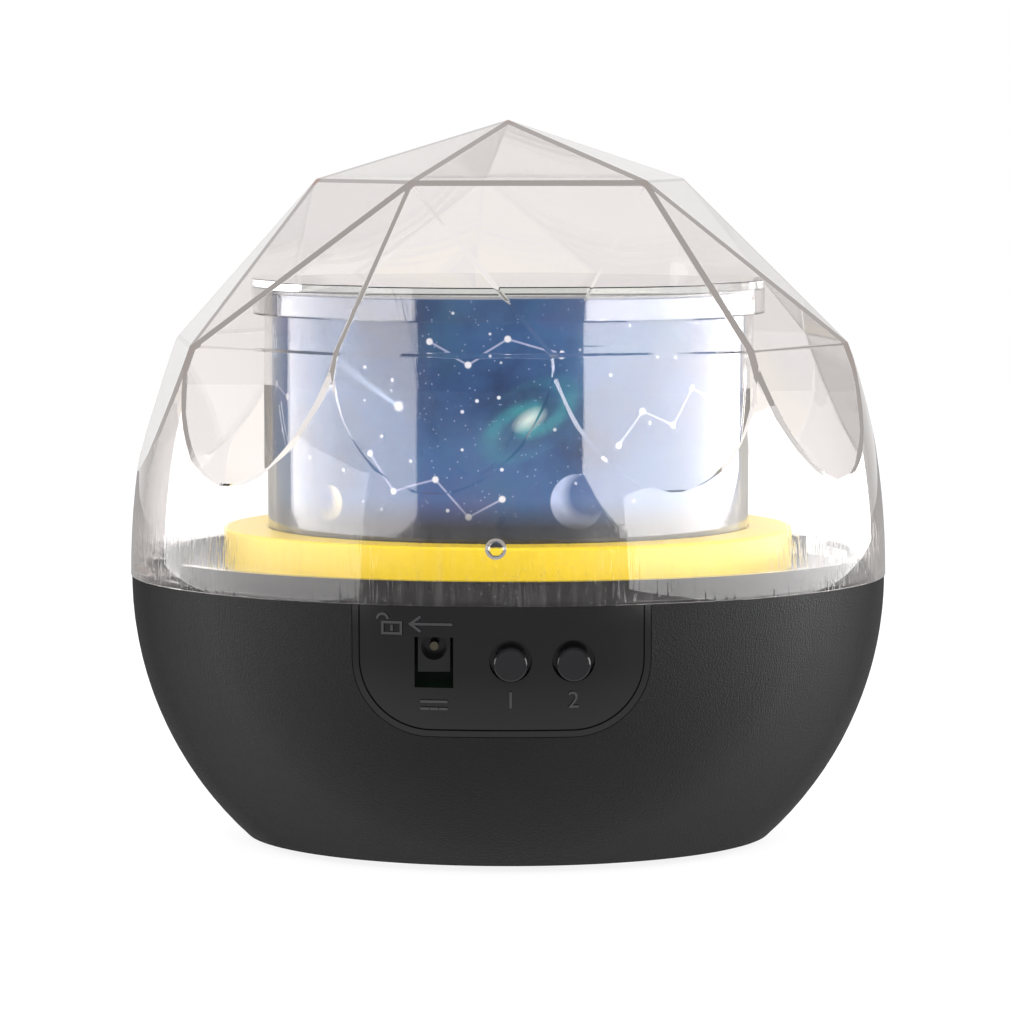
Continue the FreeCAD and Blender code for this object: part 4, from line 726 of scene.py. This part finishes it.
class Finish(Nodes):
    """A material's node tree, with its shader."""

    def __init__(self, name):
        self.material = bpy.data.materials.new(name)
        self.material.use_nodes = True
        super().__init__(self.material.node_tree)
        self.shader = self.add("ShaderNodeBsdfPrincipled")
        self.output = self.add("ShaderNodeOutputMaterial")
        self.join(self.shader.outputs["BSDF"], self.output.inputs["Surface"])

    def surface(self, **settings):
        """Numbers and colours that hold all over, by the shader's own socket names."""
        for name, value in settings.items():
            self.shader.inputs[name.replace("_", " ").title().replace("Ior", "IOR")].default_value = value

    def either(self, share, first, second):
        """One shader or the other."""
        node = self.add("ShaderNodeMixShader")
        self.join(share, node.inputs[0])
        self.join(first, node.inputs[1])
        self.join(second, node.inputs[2])
        return node.outputs["Shader"]

    def relief(self, height, strength, depth):
        node = self.add("ShaderNodeBump")
        node.inputs["Strength"].default_value = strength
        node.inputs["Distance"].default_value = depth
        self.join(height, node.inputs["Height"])
        self.join(node.outputs["Normal"], self.shader.inputs["Normal"])


def near_rim(finish, height):
    """1 at the seam, fading to nothing that high above it."""
    parts = finish.add("ShaderNodeSeparateXYZ")
    finish.join(finish.place(), parts.inputs[0])
    return finish.spread(parts.outputs["Z"], SEAM, SEAM + height, 1.0, 0.0)


def drawn_up(finish, scale):
    """Fine noise drawn out upwards."""
    drawn = finish.add("ShaderNodeVectorMath", operation="MULTIPLY")
    finish.join(finish.place(), drawn.inputs[0])
    drawn.inputs[1].default_value = (1, 1, SCRATCH_DRAW)
    return finish.noise(scale, detail=2.0, place=drawn.outputs[0])


def scratches(finish):
    """Fine upright scratches that fade out above the rim."""
    lines = finish.spread(drawn_up(finish, SCRATCH_SCALE), *SCRATCH_EDGES)
    height = finish.math("MULTIPLY", lines, near_rim(finish, SCRATCH_HEIGHT))
    finish.relief(height, SCRATCH_STRENGTH, SCRATCH_DEPTH)


def hazed(finish, shown):
    """A thin haze of dust with upright streaks and specks, thickest at the rim."""
    dust = finish.add("ShaderNodeBsdfDiffuse")
    dust.inputs["Color"].default_value = HAZE_COLOUR
    streaks = finish.spread(drawn_up(finish, HAZE_SCALE), *HAZE_EDGES, 0.0, HAZE_SHARE)
    specks = finish.spread(finish.cells(SPECK_SCALE), *SPECK_EDGES, SPECK_SHARE, 0.0)
    share = finish.math("MULTIPLY", finish.math("ADD", streaks, specks), near_rim(finish, HAZE_HEIGHT))
    return finish.either(share, shown, dust.outputs["BSDF"])


def clear_finish(name, colour, density, roughness, bend, wall_painted_glow=None):
    """Clear moulded plastic, tinted by its depth, that lets lamp light through to what is inside.

    The outer wall can show a painted glow, a fixed grey in place of light travelling on inside it, with dust
    on it.
    """
    finish = Finish(name)
    finish.surface(base_color=(1, 1, 1, 1), roughness=roughness, ior=bend)
    scratches(finish)
    finish.shader.inputs["Transmission Weight"].default_value = 1.0
    depth = finish.add("ShaderNodeVolumeAbsorption")
    depth.inputs["Color"].default_value = (*colour, 1)
    depth.inputs["Density"].default_value = density
    finish.join(depth.outputs["Volume"], finish.output.inputs["Volume"])
    path = finish.add("ShaderNodeLightPath")
    open_air = finish.add("ShaderNodeBsdfTransparent")
    shown = finish.shader.outputs["BSDF"]
    if wall_painted_glow:
        # Painted glow: where a ray is inside the wall and has turned back, the wall glows a fixed grey
        glow = finish.add("ShaderNodeEmission")
        glow.inputs["Color"].default_value = (*wall_painted_glow, 1)
        crossed = path.outputs["Transmission Depth"]
        in_wall = finish.math("COMPARE", crossed, 1.0, 0.5)
        turned_back = finish.math("GREATER_THAN", path.outputs["Glossy Depth"], 0.5)
        shown = finish.either(finish.math("MULTIPLY", in_wall, turned_back), shown, glow.outputs["Emission"])
        shown = hazed(finish, shown)
    shown = finish.either(path.outputs["Is Shadow Ray"], shown, open_air.outputs["BSDF"])
    finish.join(shown, finish.output.inputs["Surface"])
    return finish.material


def grained_black():
    """Moulded case with a fine leather-like grain."""
    finish = Finish("grained_black")
    finish.relief(finish.noise(GRAIN_SCALE, detail=2.0, roughness=0.7), 1.0, GRAIN_DEPTH)
    tone = finish.noise(CASE_TONE_SCALE)
    finish.join(finish.ramp(tone, CASE_TONES), finish.shader.inputs["Base Color"])
    slant = finish.add("ShaderNodeLayerWeight").outputs["Facing"]
    sheen = finish.math("ADD", finish.spread(tone, *SHEEN_EDGES, 0.0, CASE_UNEVEN),
                        finish.spread(slant, *CASE_SLANT, *CASE_ROUGHNESS))
    finish.join(sheen, finish.shader.inputs["Roughness"])
    finish.surface(specular_ior_level=CASE_SPECULAR)
    return finish.material


def two_tones(finish, pattern, colour, dark_share, edges):
    """The colour and a darker one, by a noise pattern."""
    dark = [channel * dark_share for channel in colour]
    tones = finish.ramp(pattern, list(zip(edges, (dark, colour))))
    finish.join(tones, finish.shader.inputs["Base Color"])


def uneven_sheen(finish, pattern, roughness, uneven):
    """Roughness that varies a little with the same pattern."""
    low, high = uneven
    sheen = finish.spread(pattern, *SHEEN_EDGES, roughness + low, roughness + high)
    finish.join(sheen, finish.shader.inputs["Roughness"])


def plain_moulded(name, colour, roughness):
    """Smooth moulded plastic: a faint unevenness of sheen and colour."""
    finish = Finish(name)
    cloud = finish.noise(CLOUD_SCALE, detail=4.0)
    two_tones(finish, cloud, colour, CLOUD_DARK, CLOUD_EDGES)
    uneven_sheen(finish, cloud, roughness, PLASTIC_UNEVEN)
    grain = finish.noise(PLASTIC_GRAIN_SCALE, detail=1.0)
    finish.relief(grain, PLASTIC_GRAIN_STRENGTH, PLASTIC_GRAIN_DEPTH)
    return finish.material


def metal(name, colour, roughness):
    """Plated metal with short drawn marks."""
    finish = Finish(name)
    finish.surface(metallic=1.0)
    marks = finish.noise(METAL_MARK_SCALE, detail=2.0)
    two_tones(finish, marks, colour, METAL_DARK, SHEEN_EDGES)
    uneven_sheen(finish, marks, roughness, METAL_UNEVEN)
    return finish.material


class Print(Finish):
    """A print in millimetres: across, round the film in a repeat, and up from the seam."""

    def __init__(self, name):
        super().__init__(name)
        parts = self.add("ShaderNodeSeparateXYZ")
        self.join(self.place(), parts.inputs[0])
        turn = self.math("ARCTAN2", parts.outputs["X"], self.math("MULTIPLY", parts.outputs["Y"], -1.0))
        repeat = self.math("FRACT", self.math("MULTIPLY_ADD", turn, FILM_REPEATS / (2 * math.pi), 0.5))
        width = 2 * math.pi * FILM_RADIUS / FILM_REPEATS / MM
        across = self.math("MULTIPLY_ADD", repeat, width, -width / 2)
        self.up = self.math("MULTIPLY_ADD", parts.outputs["Z"], 1 / MM, -SEAM / MM)
        squares = [self.math("POWER", parts.outputs[axis], 2.0) for axis in ("X", "Y")]
        reach = self.math("SQRT", self.math("ADD", *squares))
        self.back = self.math("LESS_THAN", reach, FILM_RADIUS - FILM_THICK / 2)
        spot = self.add("ShaderNodeCombineXYZ")
        self.join(across, spot.inputs["X"])
        self.join(self.up, spot.inputs["Y"])
        self.spot = spot.outputs[0]

    def vector(self, operation, first, second):
        node = self.add("ShaderNodeVectorMath", operation=operation)
        self.feed(node.inputs[0], first)
        if operation == "SCALE":
            self.feed(node.inputs["Scale"], second)
        else:
            self.feed(node.inputs[1], second)
        return node.outputs["Value"] if operation in ("DISTANCE", "DOT_PRODUCT") else node.outputs[0]

    def away(self, centre):
        return self.vector("DISTANCE", self.spot, (*centre, 0))

    def disc(self, centre, radius, blur=DISC_BLUR):
        return self.spread(self.away(centre), radius - blur, radius + blur, 1.0, 0.0)

    def along(self, start, end):
        """How far along the line from start to end, in mm, and how far from it."""
        first = Vector((*start, 0))
        way = Vector((*end, 0)) - first
        from_start = self.vector("SUBTRACT", self.spot, tuple(first))
        walked = self.vector("DOT_PRODUCT", from_start, tuple(way.normalized()))
        kept = self.math("MAXIMUM", self.math("MINIMUM", walked, way.length), 0.0)
        nearest = self.vector("SCALE", tuple(way.normalized()), kept)
        return kept, self.vector("DISTANCE", from_start, nearest)

    def stroke(self, start, end):
        return self.spread(self.along(start, end)[1], PRINT_LINE / 2, PRINT_LINE, 1.0, 0.0)

    def most(self, masks):
        total = masks[0]
        for mask in masks[1:]:
            total = self.math("MAXIMUM", total, mask)
        return total


def star_cloud(film):
    """Deep blue to violet clouds with fine stars."""
    colour = film.ramp(film.noise(NIGHT_SCALE, detail=6.0, roughness=0.62), NIGHT_STOPS)
    drift = film.spread(film.noise(DRIFT_SCALE, detail=4.0), *DRIFT_EDGES)
    colour = film.blend(film.math("MULTIPLY", drift, DRIFT_SHARE), colour, DRIFT_COLOUR)
    for scale, edges, share, tint in (FINE_STARS, BRIGHT_STARS):
        colour = film.blend(film.spread(film.cells(scale), *edges, share, 0.0), colour, tint)
    return colour


def galaxy(film, colour):
    """A tilted spiral with a pale heart and teal arms."""
    from_heart = film.vector("SUBTRACT", film.spot, (*GALAXY, 0))
    tilt = math.radians(GALAXY_TILT)
    far = film.vector("DOT_PRODUCT", from_heart, (math.cos(tilt), math.sin(tilt), 0))
    wide = film.vector("DOT_PRODUCT", from_heart, (-math.sin(tilt), math.cos(tilt), 0))
    far = film.math("DIVIDE", far, GALAXY_REACH[0])
    wide = film.math("DIVIDE", wide, GALAXY_REACH[1])
    out = film.math("SQRT", film.math("ADD", film.math("POWER", far, 2.0), film.math("POWER", wide, 2.0)))
    turn = film.math("ARCTAN2", wide, far)
    wind = film.math("SUBTRACT", film.math("MULTIPLY", turn, GALAXY_ARMS),
                     film.math("MULTIPLY", out, GALAXY_WIND))
    arms = film.spread(film.math("COSINE", wind), *GALAXY_ARM_EDGES)
    mottle = film.spread(film.noise(GALAXY_MOTTLE_SCALE, detail=5.0), *GALAXY_MOTTLE)
    fade = film.spread(out, *GALAXY_FADE, 1.0, 0.0)
    haze = film.math("MULTIPLY", film.math("MULTIPLY", arms, mottle), fade)
    colour = film.blend(film.math("MULTIPLY", fade, GALAXY_GLOW_SHARE), colour, GALAXY_GLOW)
    colour = film.blend(film.math("MULTIPLY", haze, GALAXY_ARM_SHARE), colour, GALAXY_ARM)
    heart = film.spread(out, *GALAXY_HEART_EDGES, GALAXY_HEART_SHARE, 0.0)
    return film.blend(heart, colour, GALAXY_HEART)


def crescent(film, colour, disc, shadow, tint):
    """A moon's lit edge, its dark side just showing."""
    craters = film.spread(film.noise(CRATER_SCALE, detail=4.0), *CRATERS)
    lit = film.math("SUBTRACT", film.disc(*disc), film.disc(*shadow, blur=MOON_BLUR), clamp=True)
    colour = film.blend(film.math("MULTIPLY", film.disc(*disc), MOON_DARK_SHARE), colour, MOON_DARK)
    return film.blend(film.math("MULTIPLY", lit, craters), colour, tint)


def comet(film, colour):
    head, tail_end = COMET
    walked, beside = film.along(head, tail_end)
    length = (Vector(tail_end) - Vector(head)).length
    width = film.spread(walked, 0.0, length, COMET_WIDTH * COMET_NECK_SHARE, COMET_WIDTH)
    tail = film.math("SUBTRACT", 1.0, film.math("DIVIDE", beside, width), clamp=True)
    tail = film.math("MULTIPLY", tail, film.spread(walked, 0.0, length, COMET_TAIL_SHARE, 0.0))
    colour = film.blend(tail, colour, COMET_TAIL)
    return film.blend(film.disc(head, COMET_HEAD_RADIUS, blur=COMET_HEAD_BLUR), colour, COMET_HEAD)


def star_chains(film, colour):
    """Stars joined by fine lines, in figures of no real sky."""
    lines = [film.stroke(*ends) for chain in STAR_CHAINS for ends in zip(chain, chain[1:])]
    dots = [film.disc(star, STAR_DOT) for chain in STAR_CHAINS for star in chain]
    colour = film.blend(film.math("MULTIPLY", film.most(lines), LINE_SHARE), colour, LINE_COLOUR)
    return film.blend(film.most(dots), colour, DOT_COLOUR)


def printed_film():
    """Star film: clouds, a spiral, two moons, a comet and star figures, near black towards the foot, its
    inner face painted pale as light shining through from behind.
    """
    film = Print("printed_film")
    colour = galaxy(film, star_cloud(film))
    colour = crescent(film, colour, MOON, MOON_SHADOW, MOON_COLOUR)
    colour = crescent(film, colour, SMALL_MOON, SMALL_MOON_SHADOW, SMALL_MOON_COLOUR)
    colour = star_chains(film, comet(film, colour))
    foot = film.spread(film.up, *FILM_FOOT, FOOT_SHARE, 0.0)
    colour = film.blend(foot, colour, FOOT_COLOUR)
    # Painted light: the inner face takes a flat pale colour for the light shining through the film
    film.join(film.blend(film.back, colour, FILM_INNER_PAINTED_LIGHT), film.shader.inputs["Base Color"])
    film.surface(roughness=FILM_SHEEN)
    return film.material


# Scene round the lamp


def camera():
    bpy.ops.object.camera_add(location=CAMERA_PLACE, rotation=(math.radians(90 - CAMERA_PITCH), 0, 0))
    thing = bpy.context.object
    thing.name = "front_camera"
    thing.data.lens = CAMERA_LENS
    bpy.context.scene.camera = thing


def soft_lamp(name, place, size, power, shine=True, fill=True):
    """An area lamp aimed at the seam, which may leave out reflections or the light on surfaces."""
    bpy.ops.object.light_add(type="AREA", location=place)
    lamp = bpy.context.object
    lamp.name = name
    lamp.visible_glossy = shine
    lamp.visible_diffuse = fill
    lamp.visible_camera = False
    lamp.visible_transmission = shine
    lamp.data.shape = "RECTANGLE"
    lamp.data.size, lamp.data.size_y = size
    lamp.data.energy = power
    aim = Vector((0, 0, SEAM)) - lamp.location
    lamp.rotation_euler = aim.to_track_quat("-Z", "Y").to_euler()


def lamps():
    """Low and long lamps for the gloss, soft ones for the light on surfaces."""
    for word, (azimuth, wide, power) in LAMPS.items():
        side = outward(azimuth) * LAMP_REACH
        soft_lamp(f"{word}_shine", side + Vector((0, 0, LAMP_HEIGHT)), (wide, LAMP_TALL), power, fill=False)
        soft_lamp(f"{word}_fill", side + Vector((0, 0, FILL_HEIGHT)), FILL_SIZE, FILL_POWER, shine=False)
    above = (0, TOP_LAMP_BACK, TOP_LAMP_HEIGHT)
    soft_lamp("top_fill", above, TOP_LAMP_SIZE, TOP_LAMP_POWER, shine=False)
    front = (0, -FRONT_LAMP_REACH, FRONT_LAMP_HEIGHT)
    soft_lamp("front_fill", front, FRONT_LAMP_SIZE, FRONT_LAMP_POWER, shine=False)


def seen_directly(finish):
    """1 for rays from the camera and straight on through clear parts, 0 after any other bounce."""
    path = finish.add("ShaderNodeLightPath")
    bounces = finish.math("ADD", path.outputs["Glossy Depth"], path.outputs["Diffuse Depth"])
    unbounced = finish.math("LESS_THAN", bounces, 0.5)
    through = finish.math("MULTIPLY", path.outputs["Is Transmission Ray"], unbounced)
    return finish.math("MAXIMUM", path.outputs["Is Camera Ray"], through), path


def sky():
    """White to the eye and through the clear parts, a plain level of light elsewhere.

    In reflections it is dark but for a white screen straight behind.
    """
    world = bpy.data.worlds.new("studio")
    world.use_nodes = True
    air = Nodes(world.node_tree)
    seen, path = seen_directly(air)
    parts = air.add("ShaderNodeSeparateXYZ")
    air.join(air.add("ShaderNodeTexCoord").outputs["Generated"], parts.inputs[0])
    mirrored = air.spread(parts.outputs["Y"], *SKY_EDGE, SKY_DARK, SKY_WHITE)
    is_shine = air.math("MULTIPLY", air.math("GREATER_THAN", path.outputs["Glossy Depth"], 0.5),
                        air.math("LESS_THAN", path.outputs["Diffuse Depth"], 0.5))
    plain = air.math("ADD", air.math("MULTIPLY", is_shine, mirrored),
                     air.math("MULTIPLY", air.math("SUBTRACT", 1.0, is_shine), SKY_LIGHT))
    level = air.math("ADD", air.math("MULTIPLY", seen, SKY_WHITE),
                     air.math("MULTIPLY", air.math("SUBTRACT", 1.0, seen), plain))
    glow = air.add("ShaderNodeBackground")
    glow.inputs["Color"].default_value = (1, 1, 1, 1)
    air.join(level, glow.inputs["Strength"])
    air.join(glow.outputs[0], air.add("ShaderNodeOutputWorld").inputs["Surface"])
    bpy.context.scene.world = world


def floor():
    """Pale floor that shows white, and keeps the lamp's shadow."""
    bpy.ops.object.select_all(action="DESELECT")
    bpy.ops.mesh.primitive_circle_add(vertices=FLOOR_STEPS, radius=FLOOR_RADIUS, fill_type="NGON")
    thing = new_piece("floor")
    finish = Finish("pale_floor")
    finish.surface(base_color=FLOOR_GREY, roughness=FLOOR_ROUGHNESS)
    seen, path = seen_directly(finish)
    parts = finish.add("ShaderNodeSeparateXYZ")
    finish.join(finish.place(), parts.inputs[0])
    beside = finish.spread(parts.outputs["Y"], FLOOR_FRONT, 0.0, FLOOR_GLOSS_FRONT, FLOOR_GLOSS)
    reach = finish.add("ShaderNodeVectorMath", operation="LENGTH")
    finish.join(finish.place(), reach.inputs[0])
    near = finish.spread(reach.outputs["Value"], FLOOR_NEAR, FLOOR_FAR, FLOOR_GLOSS, FLOOR_GLOSS_FAR)
    gloss = finish.math("MULTIPLY", beside, near)
    shine = finish.math("MULTIPLY", path.outputs["Is Glossy Ray"], gloss)
    bounce = finish.math("MULTIPLY", path.outputs["Is Diffuse Ray"], FLOOR_BOUNCE)
    glow = finish.add("ShaderNodeEmission")
    finish.join(finish.math("MAXIMUM", finish.math("MULTIPLY", seen, FLOOR_GLOW),
                            finish.math("MAXIMUM", shine, bounce)), glow.inputs["Strength"])
    both = finish.add("ShaderNodeAddShader")
    finish.join(finish.shader.outputs["BSDF"], both.inputs[0])
    finish.join(glow.outputs["Emission"], both.inputs[1])
    finish.join(both.outputs["Shader"], finish.output.inputs["Surface"])
    thing.data.materials.append(finish.material)


def dress_nodes(finishes):
    """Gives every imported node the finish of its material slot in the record."""
    for part in frame["record"]["subparts"]:
        for slot in frame["nodes"][part["node"]].material_slots:
            slot.material = finishes[part["material_slot"]]


def main():
    bpy.context.scene.view_settings.view_transform = "Standard"
    camera()
    sky()
    lamps()
    floor()
    dome_finish = clear_finish(*DOME_CLEAR, wall_painted_glow=DOME_WALL_PAINTED_GLOW)
    drum_finish = clear_finish(*DRUM_CLEAR)
    finishes = {
        "black_case": grained_black(),
        "clear_dome": dome_finish,
        "clear_drum": drum_finish,
        "film": printed_film(),
    }
    finishes.update({slot: plain_moulded(*look) for slot, look in PLASTICS.items()})
    finishes.update({slot: metal(*look) for slot, look in METALS.items()})
    dress_nodes(finishes)
    panel_marks(plain_moulded(*MARK_BLACK_PAINTED_HIGHLIGHT))
    clear_dome(dome_finish)
    clear_drum(drum_finish)
    clear_cap(drum_finish)


main()
